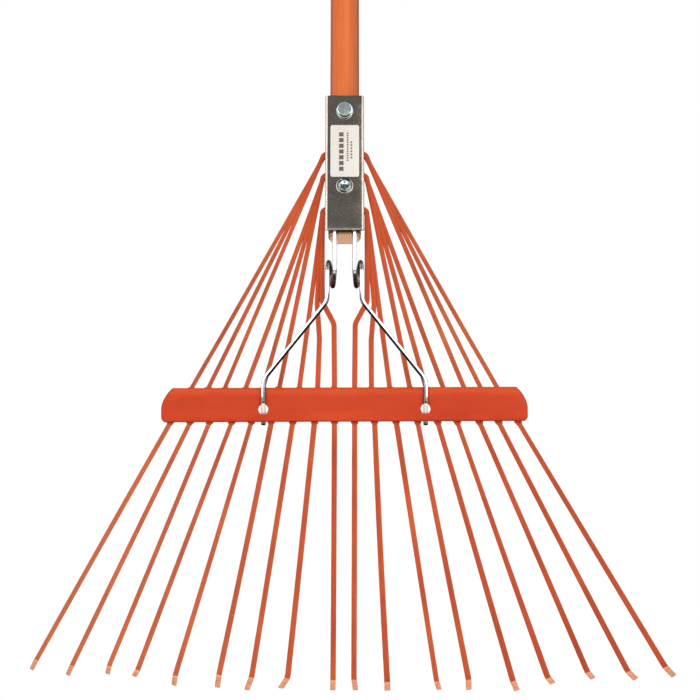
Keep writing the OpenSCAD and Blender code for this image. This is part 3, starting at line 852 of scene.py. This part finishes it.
def make_channel():
    """Folded sheet swept up the ferrule, notched from behind for the wires."""
    ring = channel_section()
    rows, cut_half = 12, 30
    verts = []
    for i in range(rows + 1):
        z = -FERRULE_H + FERRULE_H * i / rows
        for x, y in ring:
            dent = 0.0
            if y < FRONT_Y + FOLD_R:
                dent = 0.10 * noise.noise(Vector((x * 0.03, 3.1, z * 0.03)))
            verts.append(Vector((x, y + dent, z)) * MM)
    faces = tube_faces(rows + 1, len(ring), flip_caps=True)
    ob = build("vis_ferrule_channel", verts, faces, M_ZINC)

    notch_r = 1.6
    for z in LEVEL_Z:
        y0, y1, z0, z1 = FLAT_Y - 0.3, FLAT_Y + 20, z - 4.4, z + TINE_W / 2 + 0.5
        notch = []
        for cz, start in ((z0 + notch_r, 180), (z1 - notch_r, 90)):
            for k in range(6):
                a = math.radians(start + 90 * k / 5)
                notch.append((y0 + notch_r + notch_r * math.cos(a), cz + notch_r * math.sin(a)))
        notch[6:6] = [(y1, z0), (y1, z1)]
        boolean(ob, prism("cut", notch, -cut_half, cut_half, M_ZINC, axis="X"))

    # the flanges are cut off on a slope below
    slope = [(FRONT_Y + SHEET, -FERRULE_H - 1), (FRONT_Y + SHEET, -FERRULE_H),
             (BACK_Y, -BACK_H), (BACK_Y + 1, -BACK_H), (BACK_Y + 1, -FERRULE_H - 1)]
    boolean(ob, prism("cut", slope, -cut_half, cut_half, M_ZINC, axis="X"))
    bevel(ob, 0.32, segments=3)
    shade(ob)
    return ob


def make_back_plate():
    w = INNER_W / 2 - 0.12
    rows = 8
    ring = ((-w, BACK_IN), (w, BACK_IN), (w, BACK_Y), (0, BACK_Y), (-w, BACK_Y))
    verts = []
    for i in range(rows + 1):
        z = -BACK_H * i / rows
        for x, y in ring:
            dent = 0
            if y == BACK_Y:
                dent = 0.06 * noise.noise(Vector((x * 0.05, 9, z * 0.04)))
            verts.append(Vector((x, y + dent, z)) * MM)
    ob = build("vis_back_plate", verts, tube_faces(rows + 1, len(ring)), M_ZINC)
    bevel(ob, 0.35)
    shade(ob)
    return ob


def threaded(name, y0, y1):
    """Helical thread along Y, closed at y1 by a chamfered, slightly domed end."""
    seg, r, tip = 40, BOLT_R, THREAD_TIP
    side = 1 if y1 > y0 else -1
    length = abs(y1 - y0)
    rows = int(length / THREAD_PITCH * 8)
    rings = []
    for i in range(rows + 1):
        h = length * i / rows
        radii = []
        for j in range(seg):
            phase = (h / THREAD_PITCH - j / seg) % 1.0
            radius = r - THREAD_DEPTH * (1 - abs(2 * phase - 1)) ** 1.1
            if h > length - tip:
                radius = min(radius, r - tip + (length - h) * 0.9)
            radii.append(radius)
        rings.append((y0 + side * h, radii))
    for radius, dome in ((r - tip - 0.55, 0.16), (r * 0.4, 0.26), (r * 0.15, 0.27)):
        rings.append((y1 + side * dome, [radius] * seg))
    verts = []
    for y, radii in rings:
        for j, radius in enumerate(radii):
            a = 2 * math.pi * j / seg
            verts.append(Vector((radius * math.cos(a), y, radius * math.sin(a))) * MM)
    return build(name, verts, tube_faces(len(rings), seg, flip_caps=True), M_BOLT, 40)


def outside(side, gap):
    """Depth just outside the washer, in front (side -1) or behind (side 1)."""
    return FRONT_Y - WASHER_T - gap if side < 0 else BACK_Y + WASHER_T + gap


def make_bolt(name, z, head_side, length_out):
    """Round-headed bolt. head_side -1 puts the head in front and the threaded end behind."""
    seat, far = outside(head_side, 0.1), outside(-head_side, 0.1)
    prof = [(3.0, 0.0), (HEAD_R - 0.25, 0.0), (HEAD_R - 0.03, 0.14), (HEAD_R, 0.34),
            (HEAD_R - 0.02, 0.60), (HEAD_R - 0.06, HEAD_H - 1.4)]
    for k in range(1, 9):
        a = math.radians(90 * k / 8)
        prof.append((HEAD_R - 0.96 + 0.9 * math.cos(a), HEAD_H - 1.4 + 1.38 * math.sin(a)))
    prof += [(HEAD_R - 1.1, HEAD_H - 0.02), (HEAD_R - 1.6, HEAD_H - 0.02),
             (2.5, HEAD_H - 0.01), (0.05, HEAD_H - 0.01)]
    head = lathe(name + "_head", [(r, seat + head_side * h) for r, h in prof], M_BOLT, seg=72,
                 wobble=lambda a, h: 0.03 * math.sin(2 * a + 0.7))
    thread = threaded(name + "_thread", far + head_side * 4.0, far - head_side * length_out)
    ends = sorted((seat - head_side * 0.5, far + head_side * 3.9))
    shank = lathe(name + "_shank", [(BOLT_R - 0.05, y) for y in ends], M_BOLT, seg=48)
    ob = join(name, [head, thread, shank])
    raise_to(ob, z)
    shade(ob, 34)
    return ob


def make_nut(name, z, side):
    """Hex nut, chamfered on both faces and countersunk round the bolt."""
    seat = outside(side, 0.12)
    lo, hi = sorted((seat, seat + side * NUT_H))
    corner_r = NUT_AF / math.sqrt(3)
    angles = [math.radians(90 + 60 * k + NUT_TURN) for k in range(6)]
    outline = [(corner_r * math.cos(a), corner_r * math.sin(a)) for a in angles]
    ob = prism(name, outline, lo, hi, M_BOLT)
    face_r = NUT_AF * 0.478
    cone = [(face_r, lo), (face_r + 1.75, lo + NUT_CHAMFER),
            (face_r + 1.75, hi - NUT_CHAMFER), (face_r, hi)]
    boolean(ob, lathe("cone", cone, M_BOLT), "INTERSECT")
    r = BOLT_R + 0.08
    bore = [(r + 0.9, lo - 0.5), (r, lo + 0.55), (r, hi - 0.55), (r + 0.9, hi + 0.5)]
    boolean(ob, lathe("bore", bore, M_BOLT, seg=48))
    bevel(ob, 0.2, angle=28)
    raise_to(ob, z)
    shade(ob, 28)
    return ob


def make_washers():
    r0, r1, t = BOLT_R + 0.15, WASHER_R, WASHER_T
    prof = [(r0, 0.15), (r0 + 0.15, 0.0), (r1 - 0.35, 0.0), (r1 - 0.1, 0.1), (r1, 0.4),
            (r1, t - 0.45), (r1 - 0.12, t - 0.14), (r1 - 0.42, t), (r1 - 0.50, t),
            (r0 + 0.25, t), (r0 + 0.15, t), (r0, t - 0.15)]
    objs = []
    for z in BOLT_Z:
        for side, y in ((-1, FRONT_Y - 0.05), (1, BACK_Y + 0.05)):
            placed = [(r, y + side * h) for r, h in prof]
            ob = lathe("washer", placed, M_WASHER, seg=72, closed=True)
            raise_to(ob, z)
            objs.append(ob)
    ob = join("vis_washers", objs)
    shade(ob, 35)
    return ob


def make_label():
    outline = rounded_rect(2 * LABEL_HALF_W, LABEL_H, LABEL_CORNER, steps=6,
                           cx=LABEL_X, cy=LABEL_Z + LABEL_H / 2)
    ob = prism("vis_label", outline, FRONT_Y - 0.28, FRONT_Y, label_material())
    bevel(ob, 0.08)
    shade(ob)
    return ob


# ------------------------------------------------------------- brace spring
def brace_half():
    """Right half of the brace: loop over the lower bolt, leg, coil, arm and hook."""
    leg_x, leg_y = BRACE_LEG_X, BRACE_LEG_Y
    pts = []
    for k in range(13):
        a = math.radians(90 - 7.5 * k)
        pts.append(Vector((leg_x * math.cos(a), leg_y, BOLT_Z[1] + leg_x * math.sin(a))))
    pts += [Vector((leg_x, leg_y, z))
            for z in (-120, -140, -150, -160, -170, -178, -183.2, -184.2)]
    steps = 44
    for k in range(steps + 1):
        e = k / steps
        a = 2 * math.pi * k / steps
        x = leg_x + COIL_PITCH * (e * e * (3 - 2 * e) * 0.35 + e * 0.65)
        pts.append(Vector((x, leg_y + COIL_R * (1 - math.cos(a)), COIL_Z - COIL_R * math.sin(a))))

    arm_x, arm_y = leg_x + COIL_PITCH, 3.7
    dive = Vector((HOLE_X, arm_y, -314.4))       # turns in through the bar here
    hole = Vector((HOLE_X, HOLE_Y, HOLE_Z))
    through = (hole - dive).normalized()
    low = dive + through * ((TINE_Y + 1.5 - dive.y) / through.y)
    corners = [                                  # (point, bend radius)
        (Vector((arm_x, leg_y, COIL_Z)), 0),
        (Vector((arm_x + 0.02, leg_y, -186.2)), 0),
        (Vector((arm_x + 0.03, leg_y, -187.4)), 0),
        (Vector((arm_x + 0.3, leg_y, -218)), 14),
        (Vector((HOLE_X, arm_y, -291)), 16),
        (dive, 3.6),
        (low, 3.6),
        (Vector((low.x, low.y, -331.7)), 0),
    ]
    pts += fillet_path([p for p, _ in corners], [r for _, r in corners], 9)[1:]
    return resample(pts, 7.0)


def coil_share(p):
    """Where the coils' painted shade goes: 1 on the coils, 0 on the legs and arms, with a short
    blend between.
    """
    x, z = abs(p.x) / MM, p.z / MM
    share = clamp((-185.0 - z) / 0.6) if x <= 13.2 and z > -199 else 0.0
    if x > 12.9 and z > -190:
        share = max(share, clamp((z + 187.0) / 1.2))
    return share


def make_brace():
    half = brace_half()
    path = both_halves(half, half)
    # a short worn end on each hook
    worn = 0.0003
    start = path[0] + (path[0] - path[1]).normalized() * worn
    end = path[-1] + (path[-1] - path[-2]).normalized() * worn
    path = [start] + path + [end]
    seg = 20
    across = Vector((1, 0, 0))

    def section(i, tangent):
        # carries the last ring's direction along, so that the tube doesn't twist
        nonlocal across
        across = (across - across.dot(tangent) * tangent).normalized()
        deep = tangent.cross(across)
        r = BRACE_R * MM * (1 + 0.006 * math.sin(i * 1.7))
        if i in (0, len(path) - 1):
            r *= 0.86
        angles = [2 * math.pi * j / seg for j in range(seg)]
        return [path[i] + (across * math.cos(a) + deep * math.sin(a)) * r for a in angles]

    coil = [coil_share(p) for p in path]
    return sweep("vis_brace_spring", path, section, M_WIRE, 50, {"coil": coil})


# --------------------------------------------------------------------- wires
def bar_run(i):
    """Direction of wire i through the bar, drawn on the +X side."""
    low = Vector((BAR_OUT_X[i], TINE_Y, BAR_OUT_Z))
    return (low - Vector((BAR_IN_X[i], TINE_Y, BAR_IN_Z))).normalized()


def to_split(run):
    """Step from the foot of the bar to the split between hairpin and tine."""
    return run * ((BAR_OUT_Z - SPLIT_Z) / -run.z)


def tip_point(side, i):
    """Where the tip bend of tine i starts, drawn on the +X side."""
    x = TIP_IN_X + (TIP_OUT_X - TIP_IN_X) * i / 8 + LEAN_X[side][i]
    return Vector((x, TINE_Y, TIP_Z + TIP_RISE * (i / 8) ** 2 + RISE[side][i]))


def slim_at(i, p):
    """Width share of hairpin i at p: full inside the ferrule, and as the tine at the split."""
    side = -1 if p.x < 0 else 1
    out = ease((abs(p.x) / MM - 19) / 12)
    down = ease((-290 - p.z / MM) / 36)
    return (1 - out + out * SLIM_UP[side][i]) * (1 - down) + SLIM_TOP[side][i] * down


def wire_y(i, z):
    t = ease((EASE_Z[0] - z) / (EASE_Z[0] - EASE_Z[1]))
    return (ROOT_Y + LAYER * (i % 3)) * (1 - t) + TINE_Y * t


def hairpin_half(side, i):
    """One half of hairpin i, from the middle of the ferrule to the split, on the +X side."""
    z0 = LEVEL_Z[2 - i // 3]
    jogs = JOGS.get((side, i), [])
    x1, z1 = jogs[0] if jogs else (BAR_IN_X[i], BAR_IN_Z)
    # the root bend ends where the wire leaves it straight for (x1, z1)
    dx, dz = x1 - ROOT_BEND_X, z1 - (z0 - ROOT_BEND_R)
    leave = math.atan2(dz, dx) + math.acos(ROOT_BEND_R / math.hypot(dx, dz))
    steps = 9
    root = [(0.0, z0), (9.0, z0)]
    for k in range(steps + 1):
        a = (math.pi / 2 - leave) * k / steps
        root.append((ROOT_BEND_X + ROOT_BEND_R * math.sin(a),
                     z0 - ROOT_BEND_R * (1 - math.cos(a))))
    corners = root[-1:] + jogs + [(BAR_IN_X[i], BAR_IN_Z), (BAR_OUT_X[i], BAR_OUT_Z)]
    radii = [0] + [16.0] * len(jogs) + [22.0, 0]
    tail = fillet_path([Vector((x, 0, z)) for x, z in corners], radii, 7)
    pts = resample([Vector((x, 0, z)) for x, z in root[:-1]] + tail, 9.0)
    pts.append(pts[-1] + to_split(bar_run(i)))
    return [Vector((p.x, wire_y(i, p.z), p.z)) for p in pts]


def make_hairpin(i):
    path = both_halves(hairpin_half(-1, i), hairpin_half(1, i))
    ring = rounded_rect(TINE_W * MM, TINE_T * MM, TINE_CORNER * MM)

    def section(k, tangent):
        p = path[k]
        wide = tangent.cross(Vector((0, 1, 0))).normalized()
        deep = wide.cross(tangent).normalized()
        size = 1 + noisy(p, 55, 0.03, 3.0 + i)
        width = size * slim_at(i, p)
        return [p + wide * a * width + deep * b * size for a, b in ring]

    return sweep("vis_tine_pair_%d" % (i + 1), path, section, M_HAIRPIN, 42)


# shares of the full width and thickness at the last points of the hook, end first
END_WIDTH = (0.80, 0.93, 1.0, 1.0)
END_THICK = (0.62, 0.86, 0.97, 0.97)


def tine_stations(side, i, steps):
    """(point, direction, width direction) down tine i, drawn on the +X side."""
    run = bar_run(i)
    tip = tip_point(side, i)
    foot = Vector((BAR_OUT_X[i], TINE_Y, BAR_OUT_Z))
    down = (tip - foot).normalized()
    start = foot + to_split(run)
    rng = random.Random(100 * (i + 1) + side)
    bow = rng.uniform(-0.5, 0.5)
    turn = HOOK_TURN + rng.uniform(-2, 2)
    y_dir = Vector((0, 1, 0))
    flat = down.cross(y_dir).normalized()
    twist = math.radians(SKEW[side][i])
    across = flat * math.cos(twist) - y_dir * math.sin(twist)
    back = flat * math.sin(twist) + y_dir * math.cos(twist)

    stations = [(start, run, run.cross(y_dir).normalized())]
    for k in range(1, steps + 1):
        e = k / steps
        p = start.lerp(tip, e) + flat * bow * math.sin(math.pi * e)
        a = twist * clamp((e - 0.76) / 0.24)
        stations.append((p, down, flat * math.cos(a) - y_dir * math.sin(a)))
    for k in range(1, 13):
        a = math.radians(turn * k / 12)
        p = tip + down * HOOK_BEND_R * math.sin(a) + back * HOOK_BEND_R * (1 - math.cos(a))
        stations.append((p, down * math.cos(a) + back * math.sin(a), across))
    bend_end, out, _ = stations[-1]
    length = HOOK_LENGTH + EXTRA[side][i]
    for e in (0.25, 0.5, 0.75, 0.93, 0.985, 1.0):
        stations.append((bend_end + out * length * e, out, across))
    return stations


def make_tine(name, side, i):
    steps = 26
    stations = tine_stations(side, i, steps)
    tip = tip_point(side, i)
    last = len(stations) - 1
    worn_from = steps + 4
    ring = rounded_rect(TINE_W, TINE_T, TINE_CORNER)
    top, low = SLIM_TOP[side][i], SLIM_LOW[side][i]
    verts, wear = [], []
    for j, (p, along, wide) in enumerate(stations):
        deep = wide.cross(along).normalized()
        size = 1 + (noisy(p * MM, 60, 0.035, 11.0 * side + i) if j else 0)
        end = last - j
        width = (top + (low - top) * min(1, j / steps)) * size
        thick = size
        if end < 4:
            width *= END_WIDTH[end]
            thick *= END_THICK[end]
        for a, b in ring:
            v = (p + wide * a * width + deep * b * thick) * MM
            verts.append(Vector((side * v.x, v.y, v.z)))
        # 1 at the worn end, 0.4 from the tip bend on, fading out above it: marks worn paint and
        # the painted light on the hooks
        if j > worn_from:
            worn = 0.4 + 0.6 * (j - worn_from) / (last - worn_from)
        else:
            worn = max(0.0, 0.4 - (p - tip).length / 30) if j else 0.0
        wear += [worn] * len(ring)
    faces = tube_faces(len(stations), len(ring))
    return build(name, verts, faces, M_TINE, 42, {"wear": wear})


# ------------------------------------------------------------------ crossbar
# outline of the bar's end above its rounded foot: distance in from the end, depth below the top
BAR_END = (
    (12.2, -1.5), (11.9, -1.0), (9.4, 3.3), (6.8, 6.8), (4.1, 10.8),
    (1.9, 14.8), (0.7, 17.9), (0.1, 20.6), (0.0, 22.0),
)


def bar_section():
    """Closed (y, z) section: outer face from foot to curl end, then inner face back."""
    cy, cz = CURL_CENTRE
    ny, nz = -math.cos(LEAN), -math.sin(LEAN)
    outer, inner = [], []
    start = math.pi + LEAN
    for face, r, foot_y in ((outer, CURL_R, BAR_FOOT[0]),
                            (inner, CURL_R - BAR_T, BAR_FOOT[0] + FOOT_T)):
        for k in range(5):
            e = k / 5
            face.append((foot_y * (1 - e) + (cy + ny * r) * e,
                         BAR_FOOT[1] * (1 - e) + (cz + nz * r) * e))
        face += arc(cy, cz, r, start, math.pi / 2 - start, 14)
    return outer + inner[::-1]


def bar_outline():
    """(x, z) outline that trims the bar's ends, standing clear of its top and foot."""
    foot = BAR_FOOT[1]
    end = [(BAR_HALF - inset, BAR_TOP_Z - depth) for inset, depth in BAR_END]
    for k in range(9):
        a = math.radians(90 * k / 8)
        x, z = BAR_HALF - 5.0 + 5.0 * math.cos(a), foot + 4.4 - 4.4 * math.sin(a)
        end.append((x, z - 1.0 if z < foot + 0.5 else z))
    return end + [(-x, z) for x, z in end[::-1]]


def make_crossbar():
    ring = bar_section()
    columns = 120
    verts = []
    for i in range(columns + 1):
        x = -BAR_HALF + 2 * BAR_HALF * i / columns
        for y, z in ring:
            dent = 0.12 * noise.noise(Vector((x * 0.02, 0.4, z * 0.05)))
            verts.append(Vector((x, y + dent, z)) * MM)
    ob = build("vis_crossbar", verts, tube_faces(columns + 1, len(ring)), M_BAR)
    boolean(ob, prism("cut", bar_outline(), -30, 30, M_BAR), "INTERSECT")
    for side in SIDES:
        hole = lathe("hole", [(HOLE_R, -9), (HOLE_R, 9)], M_BAR, axis="Z", seg=40)
        hole.data.transform(Matrix.Translation(Vector((side * HOLE_X, HOLE_Y, HOLE_Z)) * MM)
                            @ Matrix.Rotation(math.radians(90) - LEAN, 4, "X"))
        boolean(ob, hole)

    # clear the slivers left by the cuts, so that the bevel runs clean
    bm = bmesh.new()
    bm.from_mesh(ob.data)
    bmesh.ops.remove_doubles(bm, verts=bm.verts, dist=2e-6)
    bmesh.ops.dissolve_limit(bm, angle_limit=math.radians(0.05), verts=bm.verts,
                             edges=bm.edges, delimit={"NORMAL"})
    bmesh.ops.recalc_face_normals(bm, faces=bm.faces)
    bm.to_mesh(ob.data)
    bm.free()
    bevel(ob, 0.3)
    ob.data.transform(BAR_TILT)
    shade(ob)
    return ob


def blob(center, size, turn, seed, amount=0.16):
    """Irregular fillet of weld under paint."""
    bm = bmesh.new()
    bmesh.ops.create_icosphere(bm, subdivisions=2, radius=1.0)
    for v in bm.verts:
        place = Vector((v.co.x * 1.6 + seed, v.co.y * 1.6, v.co.z * 1.6 - seed))
        v.co = v.co * (1 + amount * noise.noise(place))
    me = bpy.data.meshes.new("blob")
    bm.to_mesh(me)
    bm.free()
    stretch = Matrix.Diagonal((size[0] * MM, size[1] * MM, size[2] * MM, 1))
    me.transform(Matrix.Translation(center * MM) @ turn @ stretch)
    me.polygons.foreach_set("use_smooth", [True] * len(me.polygons))
    return add_object("blob", me, M_BAR)


def make_welds():
    objs = []
    rng = random.Random(5)
    for side in SIDES:
        for i in range(9):
            run = bar_run(i)
            turn = Matrix.Rotation(-math.atan2(run.x * side, -run.z), 4, "Y")
            # beads along each edge of the wire behind the sheet, top and bottom
            for edge in (-1, 1):
                for z, y in ((-296.4, TINE_Y - 0.7), (-329.6, TINE_Y - 0.55)):
                    e = (BAR_IN_Z - z) / (BAR_IN_Z - BAR_OUT_Z)
                    wire_x = (BAR_IN_X[i] + (BAR_OUT_X[i] - BAR_IN_X[i]) * e) * side
                    size = (1.1 + 0.3 * rng.random(), 0.8 + 0.2 * rng.random(),
                            1.9 + 0.7 * rng.random())
                    center = Vector((wire_x + edge * 2.5, y, z + rng.uniform(-0.5, 0.3)))
                    objs.append(blob(center, size, turn, rng.uniform(0, 50)))
            # one flat bead across the wire just under the sheet edge, over its joint
            center = Vector((BAR_OUT_X[i] * side, TINE_Y - 0.35,
                             -331.3 + rng.uniform(-0.2, 0.2)))
            size = (2.75, 1.05, 1.9 + 0.5 * rng.random())
            objs.append(blob(center, size, turn, rng.uniform(0, 50), amount=0.1))
    return join("vis_weld_beads", objs)


# ------------------------------------------------------------------ assembly
def keep(ob, slot, body, *nodes):
    """Ties a rigid piece to one body."""
    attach(ob, body)
    if nodes:
        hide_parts(*nodes)


def bend(ob, node):
    """Bakes a flexible piece's transform into its mesh and hides its node."""
    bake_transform(ob)
    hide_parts(node)


UPPER_Z, LOWER_Z = BOLT_Z
keep(make_handle(), "painted_wood", ROOT, "handle")
keep(make_channel(), "zinc_sheet", ROOT, "ferrule_channel")
keep(make_back_plate(), "zinc_sheet", ROOT, "ferrule_back_plate")
keep(make_bolt("vis_upper_bolt", UPPER_Z, head_side=-1, length_out=NUT_H + 2.9),
     "zinc_fastener", ROOT, "upper_bolt")
keep(make_nut("vis_upper_nut", UPPER_Z, side=1), "zinc_fastener", ROOT, "upper_nut")
keep(make_bolt("vis_lower_bolt", LOWER_Z, head_side=1, length_out=NUT_H + 1.9),
     "zinc_fastener", ROOT, "lower_bolt")
keep(make_nut("vis_lower_nut", LOWER_Z, side=-1), "zinc_fastener", ROOT, "lower_nut")
keep(make_washers(), "zinc_fastener", ROOT, "washers")
keep(make_label(), "label_paper", ROOT, "label")
bend(make_brace(),
     "brace_spring")
keep(make_crossbar(), "painted_sheet", HEAD, "crossbar")
keep(make_welds(), "painted_sheet", HEAD)
for i in range(9):
    bend(make_hairpin(i),
         "tine_pair_%d" % (i + 1))
for side, word in ((-1, "left"), (1, "right")):
    for i in range(9):
        tine = "tine_%s_%d" % (word, i + 1)
        end = tip_point(side, i)
        end.x *= side
        bend(make_tine("vis_" + tine, side, i),
             tine)


# ------------------------------------------------------------------- staging
def floor_material():
    """Pale and softly glowing, but clear from below and to all but direct sight."""
    m = Material("pale_floor")
    col = m.ramp(m.noise(1.3), (0.3, (0.80, 0.80, 0.80)), (0.7, (0.84, 0.84, 0.835)))
    m.finish(color=col, rough=0.6, normal=m.bump(m.noise(60), strength=0.03, distance=0.001))
    m.bsdf.inputs["Emission Color"].default_value = (1, 1, 1, 1)
    m.bsdf.inputs["Emission Strength"].default_value = 0.32
    ray = m.node("ShaderNodeLightPath").outputs
    bounced = m.larger(ray["Is Glossy Ray"], ray["Is Diffuse Ray"])
    pick = m.node("ShaderNodeMixShader")
    m.put(pick.inputs[0], m.larger(m.geometry["Backfacing"], bounced))
    m.put(pick.inputs[1], m.bsdf.outputs[0])
    m.put(pick.inputs[2], m.node("ShaderNodeBsdfTransparent").outputs[0])
    m.put(m.out.inputs[0], pick.outputs[0])
    return m.material


def make_floor():
    """Floor under the tips. A camera below it looks past it to the pale backdrop."""
    z, r = -0.625, 6.0
    corners = [Vector((-r, -r, z)), Vector((r, -r, z)), Vector((r, r, z)), Vector((-r, r, z))]
    ob = build("stage_floor", corners, [(0, 1, 2, 3)], floor_material())
    if ob.data.polygons[0].normal.z < 0:
        ob.data.flip_normals()


make_floor()

# world brightness: how far each part darkens the reflections, from 0 to 1
BOOTH_DIM, LOW_DIM, BACK_DIM, HIGH_DIM = 0.909, 0.93, 0.92, 0.72
GLOSSY_LEVEL = 2.9
# and how strongly each part lights the paint
DIFFUSE_FRONT, DIFFUSE_ALL, DIFFUSE_LOW, DIFFUSE_REAR = 1.80, 0.15, 1.45, 1.3


def make_world():
    """Separate surroundings for reflections, for soft light, and for the plain backdrop."""
    world = bpy.data.worlds.new("studio")
    scene.world = world
    world.use_nodes = True
    w = Nodes(world.node_tree)
    out = w.node("ShaderNodeOutputWorld")
    background = w.node("ShaderNodeBackground")
    w.put(out.inputs[0], background.outputs[0])
    ray = w.node("ShaderNodeLightPath").outputs
    direction = w.node("ShaderNodeTexCoord").outputs["Generated"]

    def fade(value, start, end, low=0.0, high=1.0):
        return w.span(value, start, end, low, high, curve="SMOOTHSTEP")

    def towards(vector):
        made = w.node("ShaderNodeVectorMath", operation="DOT_PRODUCT")
        w.put(made.inputs[0], direction)
        made.inputs[1].default_value = Vector(vector).normalized()
        return made.outputs["Value"]

    # what bright metal reflects: soft boxes at both sides, and between them a dim booth behind
    # the camera; dim floor, dim ceiling and dusk behind the object
    x, y, z = w.xyz(direction)
    sideways = w.math("ABSOLUTE", x)
    across = fade(sideways, 0.15, 0.24, low=1.0, high=0.0)
    tall = w.times(fade(z, 0.10, 0.22), fade(z, 0.72, 0.88, low=1.0, high=0.0))
    booth = w.times(w.times(across, tall), fade(y, -0.3, -0.1, low=1.0, high=0.0))
    low = w.times(fade(z, -0.30, -0.14, low=1.0, high=0.0),
                  fade(sideways, 0.86, 0.97, low=1.0, high=0.0))
    back = fade(y, 0.18, 0.50)
    high = fade(z, 0.70, 0.92)
    level = w.minus(1.0, w.times(booth, BOOTH_DIM))
    for part, dim in ((low, LOW_DIM), (back, BACK_DIM), (high, HIGH_DIM)):
        level = w.times(level, w.minus(1.0, w.times(part, dim)))
    glossy = w.times(level, GLOSSY_LEVEL)

    # what lights the paint: mostly the front, a little to the right and above, then a weaker
    # soft box behind and light from the floor
    front = fade(towards((0.08, -1.0, 0.33)), 0.55, 0.98)
    soft = w.plus(w.times(front, DIFFUSE_FRONT), DIFFUSE_ALL)
    rear = fade(towards((0.1, 1.0, 0.25)), 0.45, 0.95)
    soft = w.plus(soft, w.times(rear, DIFFUSE_REAR))
    soft = w.plus(soft, w.times(fade(z, -0.30, -0.80), DIFFUSE_LOW))

    def choose(switch, off, on):
        return w.plus(w.times(w.minus(1.0, switch), off), w.times(switch, on))

    strength = choose(ray["Is Glossy Ray"], soft, glossy)
    strength = choose(ray["Is Camera Ray"], strength, 1.0)
    w.put(background.inputs["Strength"], strength)
    background.inputs["Color"].default_value = (1, 1, 1, 1)


make_world()


def aim_at(direction):
    return direction.to_track_quat("-Z", "Y").to_euler()


def area_light(name, location, target, size, power):
    light = bpy.data.lights.new(name, "AREA")
    light.shape = "RECTANGLE"
    light.size, light.size_y = size
    light.energy = power
    ob = bpy.data.objects.new(name, light)
    ob.location = location
    ob.rotation_euler = aim_at(Vector(target) - Vector(location))
    scene.collection.objects.link(ob)


area_light("key", location=(0.9, -2.6, 0.9), target=(0, 0, -0.25), size=(1.2, 1.2), power=5)
area_light("top", location=(0.1, -0.9, 2.4), target=(0, 0, -0.3), size=(1.6, 1.2), power=6)


def make_camera():
    """Long lens in front of the rake and below it, looking up at its middle."""
    elevation, distance = math.radians(-22.0), 2.6
    target = Vector((0.0052, 0.0, -0.2623))
    data = bpy.data.cameras.new("camera")
    data.sensor_width = 36
    data.lens = 140.0
    data.clip_start = 0.05
    data.clip_end = 60
    camera = bpy.data.objects.new("camera", data)
    look = Vector((0, math.cos(elevation), -math.sin(elevation)))
    camera.location = target - look * distance
    camera.rotation_euler = aim_at(look)
    scene.collection.objects.link(camera)
    scene.camera = camera


make_camera()
